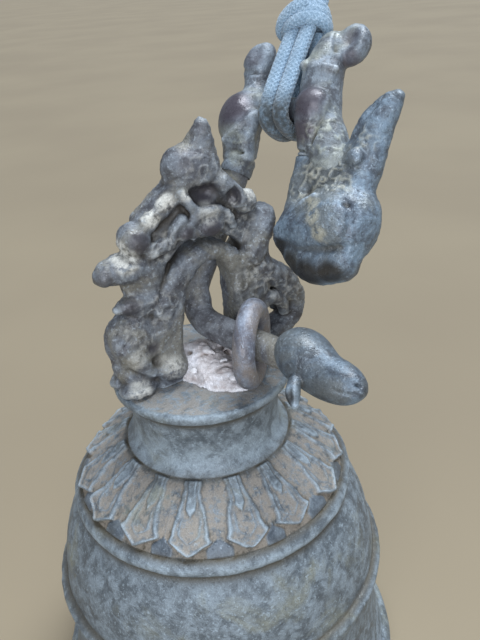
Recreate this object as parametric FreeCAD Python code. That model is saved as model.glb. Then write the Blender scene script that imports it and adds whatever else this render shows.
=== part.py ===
import FreeCAD, Part
import math
import os

# Antique bronze temple bell standing on its mouth. Millimetres, +Z up.
# Origin: centre of the mouth plane. X runs along the crown arch, -Y is the front.
V = FreeCAD.Vector

# ---------------------------------------------------------------- driving dimensions
MOUTH_R = 63.0            # outer radius of the mouth
LIP_THICK = 6.0           # width of the flat rim the bell stands on
RING_Z = 87.0             # height of the shoulder ring
RING_R = 46.0             # outer radius of the shoulder ring
LOWER_RING_Z = 52.4       # height of the lower body ring
LOWER_RING_R = 57.0       # outer radius of the lower body ring
BEAD_R = 2.7              # section radius of both body rings
COLLAR_Z = 104.2          # height where the lotus band meets the neck
COLLAR_R = 26.4           # radius there
DISC_Z = 127.0            # top of the crown disc
DISC_R = 27.6             # outer radius of the crown disc
NECK_R = 23.2             # narrowest radius of the neck
DISC_THICK = 2.6          # rim of the crown disc
NECK_INNER_R = 18.0       # hollow inside the neck
CROWN_THICK = 7.0         # metal over the hollow
PETALS = 16               # lotus petals round the shoulder
PETAL_RELIEF = 1.3        # how far a petal stands off the shoulder

STAPLE_HOLE_R = 4.0       # hole through the crown for the clapper staple
STAPLE_R = 2.0            # section radius of the staple and its eye
STAPLE_EYE_R = 6.0        # centreline radius of the staple eye
STAPLE_EYE_Z = 109.0      # height of the centre of the eye
LINK_R = 1.8              # section radius of the clapper link
LINK_RING_R = 6.5         # centreline radius of the clapper link
HANG_GAP = 0.3            # play between one eye and the next
ROD_TOP_R = 2.6           # clapper rod at its eye
ROD_LOW_R = 3.6           # clapper rod at its ball
BALL_R = 11.0             # clapper ball
BALL_Z = 22.0             # height of the centre of the ball

BALL_SWELL = 1.03         # a joint ball of a cast limb is this much fatter than the limb
ARCH_HALF = 5.0           # half the thickness of the crown arch
FEET_X = (-17.0, 20.0)    # middle of its two feet
FOOT_LONG = 14.0          # length of a foot
HOOK_YAW = -75.0          # plan direction of the hook's lower bar, from +X
HOOK_LEAN = 35.0          # lean of the hook about its lower bar, towards +X
HOOK_OFFSET = 4.0         # sideways offset of the hook's origin from the bell's axis
HOOK_Z = 142.3            # height of the hook's origin
BAR_H = -2.2              # the bar's centreline below that origin, in the hook's plane
BAR_R = 4.3               # section radius of the bar and the rear limb
BEND_R = 9.0              # centreline radius of the bend behind the arch
REAR_S = -8.5             # where the rear limb stands along the bar's direction
REAR_TOP = 45.0           # height of the rear limb in the hook's plane
BAR_END_S = 36.0          # front end of the bar, inside the small head
U_BAR = (3.0, 66.0)       # centre of the top bar that the cord goes under
U_BAR_R = 3.5             # section radius of the top bar
SHAFT_TOP = (17.0, 51.5)  # flat top of the front shaft, where the peg enters it
PEG_R = 2.6               # the figure's peg in the front shaft
PEG_SINK = 4.0            # how deep it goes

KEEPER_R = 9.9            # centreline radius of the keeper ring
KEEPER_SECTION_R = 3.25   # section radius of the keeper ring
KEEPER_YAW = -46          # direction of its axis, seen from above
KEEPER_S = 20.0           # its place along the bar's direction
KEEPER_OFFSET = 2.3       # and sideways

CORD_R = 2.4              # half the width of one cord strand
STRAND_STEP = 5.2         # distance between the two strands
KNOT = (-1.0, 93.0)       # centre of the knot above the top bar
KNOT_R = 8.0              # radius of the knot
KNOT_HALF = 4.5           # half the knot's height
CORD_GAP = 0.7            # play between the sling and the top bar
STRAND_SINK = 1.5         # how far a strand runs into the knot
CORD_RISE = 30.0          # length of cord between the knot and the end knot
END_KNOT_R = 6.0          # radius of the end knot

# ---------------------------------------------------------------- the hook's own frame
YAW = math.radians(HOOK_YAW)
LEAN = math.radians(HOOK_LEAN)
ALONG = V(math.cos(YAW), math.sin(YAW), 0)
SIDE = V(-math.sin(YAW), math.cos(YAW), 0)
UP = SIDE * math.sin(LEAN) + V(0, 0, 1) * math.cos(LEAN)
FACE = SIDE * math.cos(LEAN) - V(0, 0, 1) * math.sin(LEAN)
HOOK_ORIGIN = SIDE * HOOK_OFFSET + V(0, 0, HOOK_Z)


def hook_point(s, h, n=0.0):
    """Point at s along the bar, h up the leaning hook and n across it."""
    return HOOK_ORIGIN + ALONG * s + UP * h + FACE * n


# ---------------------------------------------------------------- small helpers
def save(shape, name):
    """Write one node, and say how many solids and how much metal it has."""
    shape.exportStep("parts/%s.step" % name)
    print("%-20s solids %d  volume %.1f" % (name, len(shape.Solids), shape.Volume))


def fuse_all(shapes):
    """Join overlapping shapes into one solid."""
    body = shapes[0].multiFuse(shapes[1:])
    return body.removeSplitter()


def bone(start, end, r_start, r_end):
    """Straight round limb from one point to another, tapering evenly."""
    length = (end - start).Length
    if abs(r_start - r_end) < 1e-6:
        return Part.makeCylinder(r_start, length, start, end - start)
    return Part.makeCone(r_start, r_end, length, start, end - start)


def limbs(points):
    """Chain of limbs through (point, radius) pairs, with a ball at each point."""
    pieces = [Part.makeSphere(r * BALL_SWELL, point) for point, r in points]
    for (a, r_a), (b, r_b) in zip(points, points[1:]):
        pieces.append(bone(a, b, r_a, r_b))
    return pieces


def hook_limbs(stations):
    """Chain of limbs through (s, h, n, radius) stations of the hook."""
    return limbs([(hook_point(s, h, n), r) for s, h, n, r in stations])


def egg(centre, long_axis, cross_axis, half_long, half_cross, half_third):
    """Ellipsoid with its longest axis along long_axis."""
    x = V(long_axis).normalize()
    z = x.cross(V(cross_axis)).normalize()
    y = z.cross(x)
    place = FreeCAD.Matrix(
        x.x * half_long, y.x * half_cross, z.x * half_third, centre.x,
        x.y * half_long, y.y * half_cross, z.y * half_third, centre.y,
        x.z * half_long, y.z * half_cross, z.z * half_third, centre.z,
        0, 0, 0, 1)
    return Part.makeSphere(1.0).transformGeometry(place)


def arc(a, b, c):
    """Arc through three (radius, height) points of a turned outline."""
    return Part.Arc(V(a[0], 0, a[1]), V(b[0], 0, b[1]), V(c[0], 0, c[1])).toShape()


def line(a, b):
    """Straight edge between two (radius, height) points of a turned outline."""
    return Part.LineSegment(V(a[0], 0, a[1]), V(b[0], 0, b[1])).toShape()


def turned(edges):
    """Solid turned about the bell's axis from a closed outline."""
    face = Part.Face(Part.Wire(edges))
    return face.revolve(V(0, 0, 0), V(0, 0, 1), 360)


# ---------------------------------------------------------------- the bell
def bell_shell():
    """Cast bell: lip, waist, two rings, lotus shoulder, neck and crown disc."""
    low = LOWER_RING_Z
    top = RING_Z
    inner_r = MOUTH_R - LIP_THICK
    under = DISC_Z - CROWN_THICK
    lip_top = (59.6, 9.0)
    below_ring = (LOWER_RING_R - BEAD_R, low - BEAD_R)
    above_ring = (LOWER_RING_R - BEAD_R, low + BEAD_R)
    below_bead = (RING_R - BEAD_R + 1.2, top - BEAD_R)
    above_bead = (RING_R - BEAD_R + 0.4, top + BEAD_R)
    petal_base = (RING_R - 3.0, top + BEAD_R + 0.2)
    disc_low = (NECK_R + 0.8, DISC_Z - 7.6)
    rim_low = (DISC_R, DISC_Z - DISC_THICK)
    outline = [
        line((MOUTH_R, 0), (MOUTH_R, 4.0)),
        arc((MOUTH_R, 4.0), (62.2, 7.4), lip_top),
        arc(lip_top, (55.4, 27.0), below_ring),
        arc(below_ring, (LOWER_RING_R, low), above_ring),
        arc(above_ring, (51.4, 70.5), below_bead),
        arc(below_bead, (RING_R, top), above_bead),
        line(above_bead, petal_base),
        arc(petal_base, (35.6, 97.6), (COLLAR_R, COLLAR_Z)),
        arc((COLLAR_R, COLLAR_Z), (NECK_R, 111.0), disc_low),
        arc(disc_low, (25.4, DISC_Z - 4.2), rim_low),
        line(rim_low, (DISC_R, DISC_Z)),
        line((DISC_R, DISC_Z), (STAPLE_HOLE_R, DISC_Z)),
        line((STAPLE_HOLE_R, DISC_Z), (STAPLE_HOLE_R, under)),
        line((STAPLE_HOLE_R, under), (13.0, under)),
        arc((13.0, under), (16.6, under - 1.6), (NECK_INNER_R, under - 5.0)),
        line((NECK_INNER_R, under - 5.0), (NECK_INNER_R, 103.0)),
        arc((NECK_INNER_R, 103.0), (30.4, 94.6), (39.4, 84.0)),
        arc((39.4, 84.0), (47.0, 68.0), (50.0, 46.0)),
        arc((50.0, 46.0), (51.0, 24.0), (inner_r, 3.0)),
        line((inner_r, 3.0), (inner_r, 0)),
        line((inner_r, 0), (MOUTH_R, 0)),
    ]
    shell = turned(outline)
    return fuse_all([shell] + petals())


def petals():
    """Ring of raised lotus petals lying on the shoulder."""
    outer_r = RING_R - 2.2
    slope = math.atan2(COLLAR_Z - RING_Z - 3.0, outer_r - COLLAR_R)
    length = (outer_r - COLLAR_R) / math.cos(slope) - 1.0
    half = math.pi * outer_r / PETALS - 0.8
    a = V(0, -half * 0.62, 0)
    b = V(0, half * 0.62, 0)
    shoulder_l = V(length * 0.66, -half, 0)
    shoulder_r = V(length * 0.66, half, 0)
    tip = V(length, 0, 0)
    edges = [
        Part.LineSegment(a, shoulder_l).toShape(),
        Part.Arc(shoulder_l, V(length * 0.88, -half * 0.66, 0), tip).toShape(),
        Part.Arc(tip, V(length * 0.88, half * 0.66, 0), shoulder_r).toShape(),
        Part.LineSegment(shoulder_r, b).toShape(),
        Part.LineSegment(b, a).toShape(),
    ]
    pad = Part.Face(Part.Wire(edges)).extrude(V(0, 0, PETAL_RELIEF + 3.0))
    pad.rotate(V(0, 0, 0), V(0, 1, 0), math.degrees(slope))
    pad.translate(V(COLLAR_R + 0.6, 0, COLLAR_Z - 3.6))
    ring = []
    for i in range(PETALS):
        petal = pad.copy()
        petal.rotate(V(0, 0, 0), V(0, 0, 1), 360.0 * (i + 0.5) / PETALS)
        ring.append(petal)
    return ring


# ---------------------------------------------------------------- crown arch
def crown_arch():
    """Openwork arch cast as two scaly creatures with a finial between them."""
    pieces = []
    band = [(-9.6, 2.0), (-9.8, 17.0), (-6.8, 28.0), (-1.0, 35.0), (5.0, 37.0)]
    band += [(11.0, 35.0), (16.0, 27.5), (17.4, 17.0), (17.0, 2.0)]
    left = [(-22.0, 4.0, 4.2), (-24.5, 16.0, 4.6), (-18.0, 23.0, 4.6), (-11.0, 28.0, 4.4)]
    right = [(27.0, 5.0, 4.2), (31.0, 15.0, 4.6), (28.0, 23.5, 4.6), (20.0, 28.0, 4.4)]
    crest_left = [(-25.0, 37.0, 3.6), (-16.0, 40.0, 4.6), (-9.5, 46.0, 4.4), (0.0, 55.0, 4.8)]
    crest_right = [(30.0, 35.0, 3.6), (25.5, 39.0, 4.4), (19.5, 47.0, 4.4), (11.5, 52.0, 4.6)]
    middle = [(5.0, 38.0, 4.6), (5.5, 47.0, 4.8), (6.5, 56.0, 4.8)]
    web_left = [(-13.5, 27.0, 4.0), (-11.5, 37.0, 4.2), (-6.5, 44.0, 4.0)]
    web_right = [(20.0, 28.0, 4.0), (21.0, 37.0, 4.0), (15.0, 45.0, 4.0)]
    brow = [(-9.5, 38.0, 4.0), (5.5, 45.0, 4.4), (19.5, 39.0, 4.0)]
    pieces += limbs([(V(x, 0, DISC_Z + z), 3.6) for x, z in band])
    for chain in (left, right, crest_left, crest_right, middle, web_left, web_right, brow):
        pieces += limbs([(V(x, 0, DISC_Z + z), r) for x, z, r in chain])
    pieces += limbs([(V(6.5, 0, DISC_Z + 57.0), 4.3), (V(8.6, 0, DISC_Z + 69.4), 2.2)])
    for x in FEET_X:
        pieces.append(Part.makeBox(FOOT_LONG, 2 * ARCH_HALF, 6.0, V(x - FOOT_LONG / 2, -ARCH_HALF, DISC_Z)))
    arch = fuse_all(pieces)
    return arch.cut(Part.makeBox(120, 60, 20, V(-60, -30, DISC_Z - 20)))


def crown_plug():
    """Lump of filler metal poured over the staple's shank to lock it."""
    lump = egg(V(0.5, -5.0, DISC_Z), V(0, 1, 0), V(1, 0, 0), 13.0, 10.5, 7.4)
    cap = lump.cut(Part.makeBox(60, 60, 30, V(-30, -30, DISC_Z - 30)))
    collar = Part.makeCylinder(STAPLE_HOLE_R, CROWN_THICK + 1.0, V(0, 0, DISC_Z - CROWN_THICK))
    shank = Part.makeCylinder(STAPLE_R, CROWN_THICK + 2.0, V(0, 0, DISC_Z - CROWN_THICK))
    return fuse_all([cap, collar]).cut(shank).cut(crown_arch())


# ---------------------------------------------------------------- clapper
def clapper_staple():
    """Iron shank through the crown with an eye inside the neck."""
    eye = Part.makeTorus(STAPLE_EYE_R, STAPLE_R, V(0, 0, STAPLE_EYE_Z), V(0, 1, 0))
    foot = STAPLE_EYE_Z + STAPLE_EYE_R
    shank = Part.makeCylinder(STAPLE_R, DISC_Z + 2.0 - foot, V(0, 0, foot))
    return fuse_all([eye, shank])


LINK_PIVOT_Z = STAPLE_EYE_Z - STAPLE_EYE_R
LINK_TOP_Z = LINK_PIVOT_Z + STAPLE_R + LINK_R + HANG_GAP
LINK_Z = LINK_TOP_Z - LINK_RING_R
CLAPPER_PIVOT_Z = LINK_Z - LINK_RING_R
CLAPPER_EYE_Z = CLAPPER_PIVOT_Z + LINK_R + STAPLE_R + HANG_GAP - STAPLE_EYE_R


def clapper_link():
    """Closed ring between the staple and the clapper."""
    return Part.makeTorus(LINK_RING_R, LINK_R, V(0, 0, LINK_Z), V(1, 0, 0))


def clapper_rod():
    """Clapper rod with the eye it hangs by and a short tail below the ball."""
    eye = Part.makeTorus(STAPLE_EYE_R, STAPLE_R, V(0, 0, CLAPPER_EYE_Z), V(0, 1, 0))
    rod_top = CLAPPER_EYE_Z - STAPLE_EYE_R
    tail_z = BALL_Z - BALL_R - 5.0
    rod = Part.makeCone(ROD_LOW_R, ROD_TOP_R, rod_top - tail_z, V(0, 0, tail_z))
    tip = Part.makeSphere(ROD_LOW_R, V(0, 0, tail_z))
    return fuse_all([eye, rod, tip])


def clapper_ball():
    """Bronze ball cast round the rod, with the rod's hole through it."""
    return Part.makeSphere(BALL_R, V(0, 0, BALL_Z)).cut(clapper_rod())


# ---------------------------------------------------------------- hook and keeper ring
def keeper_ring():
    """Plain cast ring round the hook's bar, standing on the crown disc."""
    centre = ALONG * KEEPER_S + SIDE * KEEPER_OFFSET
    centre.z = DISC_Z + KEEPER_R + KEEPER_SECTION_R + HANG_GAP
    yaw = math.radians(KEEPER_YAW)
    return Part.makeTorus(KEEPER_R, KEEPER_SECTION_R, centre, V(math.cos(yaw), math.sin(yaw), 0))


def hook_shank():
    """Round bar through the arch, bent up behind it as the rear limb."""
    corner_s = REAR_S + BEND_R
    start = hook_point(BAR_END_S, BAR_H)
    knee = hook_point(corner_s, BAR_H)
    mid_drop = BEND_R * (1 - math.sqrt(0.5))
    mid = hook_point(REAR_S + mid_drop, BAR_H + mid_drop)
    rise = hook_point(REAR_S, BAR_H + BEND_R)
    top = hook_point(REAR_S, REAR_TOP)
    path = Part.Wire([
        Part.LineSegment(start, knee).toShape(),
        Part.Arc(knee, mid, rise).toShape(),
        Part.LineSegment(rise, top).toShape(),
    ])
    section = Part.Wire(Part.makeCircle(BAR_R, start, ALONG))
    return path.makePipeShell([section], True, False)


def small_head():
    """Small smooth animal head on the end of the bar, with one leaf-shaped ear."""
    skull = egg(hook_point(41.0, 0.5), ALONG, SIDE, 10.5, 7.0, 6.6)
    muzzle = egg(hook_point(50.0, -0.6), ALONG, SIDE, 8.5, 5.2, 5.0)
    ear = hook_limbs([(37.5, -3.0, -4.0, 2.4), (38.5, -9.0, -6.0, 2.2)])
    head = fuse_all([skull, muzzle] + ear)
    return head.cut(Part.makeCylinder(BAR_R, 60.0, hook_point(BAR_END_S - 60.0, BAR_H), ALONG))


def hook_figure():
    """Upper casting of the hook: two knees, the top bar, two paws and the back."""
    u_s, u_h = U_BAR
    seat = Part.makeCylinder(BAR_R + 0.9, 5.0, hook_point(REAR_S, REAR_TOP), UP)
    rear = [(REAR_S - 0.5, REAR_TOP + 6.0, 0, 5.0), (-12.0, 54.5, 0, 5.4), (-12.5, 65.0, 0, 5.6)]
    top_bar = [(-11.7, 66.9, -0.5, 5.2), (u_s - 6.0, u_h, 0, U_BAR_R), (u_s + 6.0, u_h, 0, U_BAR_R)]
    top_bar += [(13.1, 68.2, -0.4, 5.1), (15.7, 60.0, -0.3, 3.6)]
    paw_rear = [(-13.1, 67.0, 1.9, 4.9), (-13.9, 73.0, 5.0, 4.5), (-14.2, 79.0, 5.0, 4.5)]
    back = [(14.6, 67.0, 3.6, 5.0), (14.4, 76.0, 6.0, 5.4), (14.2, 86.0, 5.0, 4.6)]
    paw_front = [(14.6, 80.0, 5.5, 4.5), (19.5, 85.5, 4.0, 4.6)]
    span = [(-14.0, 76.0, 6.0, 3.6), (0.0, 75.0, 13.0, 3.4), (14.0, 75.0, 8.0, 3.6)]
    pieces = [seat]
    for chain in (rear, top_bar, paw_rear, back, paw_front, span):
        pieces += hook_limbs(chain)
    s, h = SHAFT_TOP
    pieces.append(Part.makeCylinder(PEG_R, 12.0, hook_point(s, h - PEG_SINK), UP))
    return fuse_all(pieces).cut(big_head_space())


def big_head_space():
    """Half-space below the shaft's top face that the front shaft takes."""
    s, h = SHAFT_TOP
    room = Part.makeCylinder(9.0, 30.0, hook_point(s, h, 0), UP * -1)
    peg = Part.makeCylinder(PEG_R, 40.0, hook_point(s, h - PEG_SINK), UP)
    return room.cut(peg)


def big_head():
    """Front shaft with the large animal head and its horn at the lower end."""
    s, h = SHAFT_TOP
    socket = Part.makeCylinder(PEG_R, PEG_SINK, hook_point(s, h - PEG_SINK), UP)
    shaft_low = hook_point(23.0, 31.0)
    shaft_high = hook_point(s, h)
    shaft = Part.makeCylinder(4.4, (shaft_high - shaft_low).Length, shaft_low, shaft_high - shaft_low)
    top_cut = Part.makeCylinder(20.0, 20.0, hook_point(s, h), UP)
    skull = egg(hook_point(31.5, 34.0), ALONG * 0.72 + UP * 0.6, FACE, 14.5, 9.0, 10.0)
    jaw = egg(hook_point(27.5, 28.0), ALONG * 0.95 - UP * 0.2, FACE, 12.0, 8.0, 7.5)
    horn = hook_limbs([(35.5, 46.0, -1.0, 5.0), (36.8, 56.0, -2.0, 4.2), (41.0, 71.0, -3.0, 1.8)])
    neck = hook_limbs([(27.0, 44.0, 1.0, 5.0), (22.6, 50.0, 4.0, 3.2)])
    head = fuse_all([shaft.cut(top_cut), skull, jaw] + horn + neck)
    return head.cut(socket).cut(top_cut.cut(horn_room()))


def horn_room():
    """Space in front of the figure's back that the horn stands in."""
    return Part.makeBox(80, 80, 120, hook_point(27.6, 40.0, -40.0), UP)


# ---------------------------------------------------------------- cord
KNOT_CENTRE = hook_point(KNOT[0], KNOT[1])
BAR_CENTRE = hook_point(U_BAR[0], U_BAR[1])
PULL = (KNOT_CENTRE - BAR_CENTRE).normalize()
ACROSS = PULL.cross(FACE)


def sling_strand(offset):
    """One strand: down from the knot, under the top bar and up to the knot."""
    centre = BAR_CENTRE + ACROSS * offset
    radius = U_BAR_R + CORD_R + CORD_GAP
    rise = (KNOT_CENTRE - BAR_CENTRE).Length - KNOT_HALF + STRAND_SINK
    pinch = CORD_R + 0.3
    reach = math.hypot(pinch, rise)
    turn = math.acos(radius / reach) + math.atan2(rise, -pinch)
    wide = -radius * math.cos(turn)
    high = radius * math.sin(turn)
    start = centre + PULL * rise - FACE * pinch
    front = centre + PULL * high - FACE * wide
    bottom = centre - PULL * radius
    rear = centre + PULL * high + FACE * wide
    end = centre + PULL * rise + FACE * pinch
    path = Part.Wire([
        Part.LineSegment(start, front).toShape(),
        Part.Arc(front, bottom, rear).toShape(),
        Part.LineSegment(rear, end).toShape(),
    ])
    section = Part.Wire(Part.makeCircle(CORD_R, start, front - start))
    tube = path.makePipeShell([section], True, False)
    ratio = tube.Volume / (math.pi * CORD_R ** 2 * path.Length)
    print("sling strand: length %.1f, radius round the bar %.2f, volume ratio %.3f" % (
        path.Length, radius, ratio))
    return tube


def rising_strand(offset):
    """Straight strand from the knot up to the end knot."""
    foot = KNOT_CENTRE + ACROSS * offset + PULL * (KNOT_HALF - STRAND_SINK)
    return Part.makeCylinder(CORD_R, CORD_RISE + STRAND_SINK * 2, foot, PULL)


def strand_offsets():
    """Sideways places of the two strands."""
    return -STRAND_STEP / 2, STRAND_STEP / 2


def all_strands():
    """Every strand, to leave room for them in the knots."""
    strands = []
    for offset in strand_offsets():
        strands += [sling_strand(offset), rising_strand(offset)]
    return strands


def cord_knot():
    """Knot that gathers the sling, as one rounded block."""
    block = Part.makeCylinder(KNOT_R, 2 * KNOT_HALF, KNOT_CENTRE - PULL * KNOT_HALF, PULL)
    rim = [edge for edge in block.Edges if isinstance(edge.Curve, Part.Circle)]
    return block.makeFillet(2.5, rim).cut(all_strands())


def end_knot():
    """Knot that closes the cord's upper end."""
    centre = KNOT_CENTRE + PULL * (KNOT_HALF + CORD_RISE + END_KNOT_R - 1.0)
    return Part.makeSphere(END_KNOT_R, centre).cut(all_strands())


def main():
    """Write every sub-part of the bell."""
    os.makedirs("parts", exist_ok=True)
    save(bell_shell(), "bell_shell")
    save(crown_arch(), "crown_arch")
    save(crown_plug(), "crown_plug")
    save(clapper_staple(), "clapper_staple")
    save(clapper_link(), "clapper_link")
    save(clapper_rod(), "clapper_rod")
    save(clapper_ball(), "clapper_ball")
    save(keeper_ring(), "keeper_ring")
    save(hook_shank(), "hook_shank")
    save(small_head(), "small_head")
    save(hook_figure(), "hook_figure")
    save(big_head(), "big_head")
    for name, offset in zip(("left", "right"), strand_offsets()):
        save(sling_strand(offset), "sling_strand_" + name)
        save(rising_strand(offset), "rising_strand_" + name)
    save(cord_knot(), "cord_knot")
    save(end_knot(), "end_knot")


main()
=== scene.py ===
import math
from functools import reduce

import bpy
import numpy as np
from mathutils import Matrix, Vector


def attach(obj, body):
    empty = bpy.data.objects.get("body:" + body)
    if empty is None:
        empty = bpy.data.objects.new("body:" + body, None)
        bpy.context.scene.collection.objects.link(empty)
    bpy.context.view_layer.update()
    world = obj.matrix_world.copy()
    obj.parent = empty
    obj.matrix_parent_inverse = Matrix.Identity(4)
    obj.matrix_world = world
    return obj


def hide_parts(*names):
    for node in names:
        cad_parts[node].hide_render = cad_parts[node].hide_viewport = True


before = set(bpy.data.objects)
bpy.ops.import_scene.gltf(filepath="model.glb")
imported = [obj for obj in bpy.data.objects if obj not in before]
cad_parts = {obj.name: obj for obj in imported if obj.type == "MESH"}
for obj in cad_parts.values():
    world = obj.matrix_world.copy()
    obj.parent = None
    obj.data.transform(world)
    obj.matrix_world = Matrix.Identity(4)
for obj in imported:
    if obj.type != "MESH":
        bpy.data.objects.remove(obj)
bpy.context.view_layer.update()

# Antique bronze temple bell. Shapes are worked out in millimetres, and meshes are in metres.
MM = 0.001
DISC_Z = 127.0            # top of the crown disc
PETALS = 16               # lotus petals round the shoulder
RNG = np.random.default_rng(11)

# ---- the hook's own frame
YAW = math.radians(-75.0)
LEAN = math.radians(35.0)
ALONG = np.array([math.cos(YAW), math.sin(YAW), 0.0])
SIDE = np.array([-math.sin(YAW), math.cos(YAW), 0.0])
UPRIGHT = np.array([0.0, 0.0, 1.0])
UP = SIDE * math.sin(LEAN) + UPRIGHT * math.cos(LEAN)
FACE = SIDE * math.cos(LEAN) - UPRIGHT * math.sin(LEAN)
HOOK_ORIGIN = SIDE * 4.0 + UPRIGHT * 142.3
HOOK_AXES = np.array([ALONG, UP, FACE])


def hook_point(s, h, n=0.0):
    """Point of the bell at s along the hook's bar, h up the hook and n across it."""
    return HOOK_ORIGIN + ALONG * s + UP * h + FACE * n


def add_object(name, data):
    """New object in the scene."""
    made = bpy.data.objects.new(name, data)
    bpy.context.scene.collection.objects.link(made)
    return made


def settle(piece, node, body):
    """Hide the node a piece stands for and put the piece on the body it rides on."""
    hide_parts(node)
    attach(piece, body)


# ---- camera
CAMERA_PLACE = Vector((-0.07305, -0.1522, 0.2331))
CAMERA_FORWARD = Vector((0.439, 0.7606, -0.478)).normalized()
CAMERA_RIGHT = Vector((0.866, -0.5, 0.0))     # level, before the roll
CAMERA_ROLL = math.radians(-4.139)
CAMERA_LENS = 36.0                            # the same as the sensor's width


def make_camera():
    """Camera above and to the left of the bell, looking down at its crown."""
    level_up = CAMERA_RIGHT.cross(CAMERA_FORWARD).normalized()
    right = CAMERA_RIGHT * math.cos(CAMERA_ROLL) + level_up * math.sin(CAMERA_ROLL)
    up = level_up * math.cos(CAMERA_ROLL) - CAMERA_RIGHT * math.sin(CAMERA_ROLL)
    turn = Matrix((right, up, -CAMERA_FORWARD)).transposed().to_4x4()
    data = bpy.data.cameras.new("camera")
    data.lens = CAMERA_LENS
    data.sensor_width = CAMERA_LENS
    data.clip_start = 0.01
    camera = add_object("camera", data)
    camera.matrix_world = Matrix.Translation(CAMERA_PLACE) @ turn
    bpy.context.scene.camera = camera


make_camera()


# ---- noise
LATTICE = RNG.uniform(-1.0, 1.0, (32, 32, 32)).astype(np.float32)


def between_corners(values, cell, f):
    """Values of a grid in the middle of its cells, f of the way across them; the grid repeats."""
    total = np.zeros(len(cell))
    for corner in range(8):
        bits = np.array([corner & 1, corner >> 1 & 1, corner >> 2 & 1])
        weight = np.prod(np.where(bits, f, 1.0 - f), axis=1)
        total += weight * values[tuple(((cell + bits) % values.shape).T)]
    return total


def soft_noise(points, size):
    """Smooth noise from -1 to 1 whose features are about size millimetres."""
    cell = np.floor(points / size).astype(int)
    f = points / size - cell
    return between_corners(LATTICE, cell, f * f * (3.0 - 2.0 * f))


def rough_noise(points, size, octaves=4):
    """Several sizes of smooth noise added, each half the size of the one before."""
    total = np.zeros(len(points))
    for octave in range(octaves):
        total += soft_noise(points + 17.3 * octave, size / 2 ** octave) / 1.8 ** octave
    return total


def smooth_step(value, low, high):
    """0 below low, 1 above high, and a smooth change between."""
    t = np.clip((value - low) / (high - low), 0.0, 1.0)
    return t * t * (3.0 - 2.0 * t)


# ---- meshes
def make_mesh(name, points, quads, masks, material):
    """Object of quads from points in millimetres, with its masks as attributes."""
    a, b, c, d = (points[quads[:, i]] for i in range(4))
    volume = np.einsum("ij,ij->i", a, np.cross(b, c) + np.cross(c, d)).sum()
    if volume < 0:
        quads = quads[:, ::-1]
    mesh = bpy.data.meshes.new(name)
    mesh.vertices.add(len(points))
    mesh.vertices.foreach_set("co", (points * MM).astype(np.float32).ravel())
    mesh.loops.add(quads.size)
    mesh.loops.foreach_set("vertex_index", quads.astype(np.int32).ravel())
    mesh.polygons.add(len(quads))
    mesh.polygons.foreach_set("loop_start", np.arange(0, quads.size, 4, dtype=np.int32))
    mesh.update(calc_edges=True)
    mesh.polygons.foreach_set("use_smooth", np.ones(len(mesh.polygons), bool))
    for mask in MASKS:
        values = masks.get(mask, np.zeros(len(points)))
        attribute = mesh.attributes.new(mask, "FLOAT", "POINT")
        attribute.data.foreach_set("value", np.clip(values, 0.0, 1.0).astype(np.float32))
    mesh.materials.append(material)
    return add_object(name, mesh)


def point_normals(points, quads):
    """Unit normal of each point of a mesh of quads."""
    a, b, c, d = (points[quads[:, i]] for i in range(4))
    face = np.cross(c - a, d - b)
    normals = np.zeros_like(points)
    for i in range(4):
        np.add.at(normals, quads[:, i], face)
    return normals / np.maximum(np.linalg.norm(normals, axis=1), 1e-9)[:, None]


def grid_quads(rows, columns, closed_rows=False):
    """Quads of a sheet of points whose columns close on themselves."""
    i, j = np.meshgrid(np.arange(rows if closed_rows else rows - 1), np.arange(columns), indexing="ij")
    below = ((i + 1) % rows) * columns
    beside = (j + 1) % columns
    quads = np.stack([i * columns + j, i * columns + beside, below + beside, below + j], -1)
    return quads.reshape(-1, 4)


# ---- clay
FAR = 6.0                 # distance that stands for empty space, in millimetres
TINY = 1e-9               # keeps a length or its square from being zero
MASKS = ("hollow", "ridge", "crust_and_highlight", "dark")


def limb_distance(place, a, b):
    """Distance from a tapered round limb between two (x, y, z, radius) stations."""
    span = b[:3] - a[:3]
    rest = [place[i] - a[i] for i in range(3)]
    along = sum(rest[i] * span[i] for i in range(3)) / max(float(span @ span), TINY)
    along = np.clip(along, 0.0, 1.0)
    gap = sum((rest[i] - along * span[i]) ** 2 for i in range(3))
    return np.sqrt(gap) - (a[3] + (b[3] - a[3]) * along)


def chain_distance(place, stations):
    """Distance from a chain of limbs."""
    return reduce(np.minimum, (limb_distance(place, a, b) for a, b in zip(stations, stations[1:])))


def curve_through(stations, steps=4):
    """Stations of a smooth curve through the given stations, radius included."""
    p = np.array(stations, float)
    if len(p) < 3:
        return p
    padded = np.vstack([2 * p[0] - p[1], p, 2 * p[-1] - p[-2]])
    found = []
    for k in range(len(p) - 1):
        p0, p1, p2, p3 = padded[k:k + 4]
        for t in np.arange(steps) / steps:
            found.append(0.5 * (2 * p1 + (p2 - p0) * t + (2 * p0 - 5 * p1 + 4 * p2 - p3) * t ** 2
                                + (3 * p1 - p0 - 3 * p2 + p3) * t ** 3))
    found.append(p[-1])
    return np.array(found)


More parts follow.
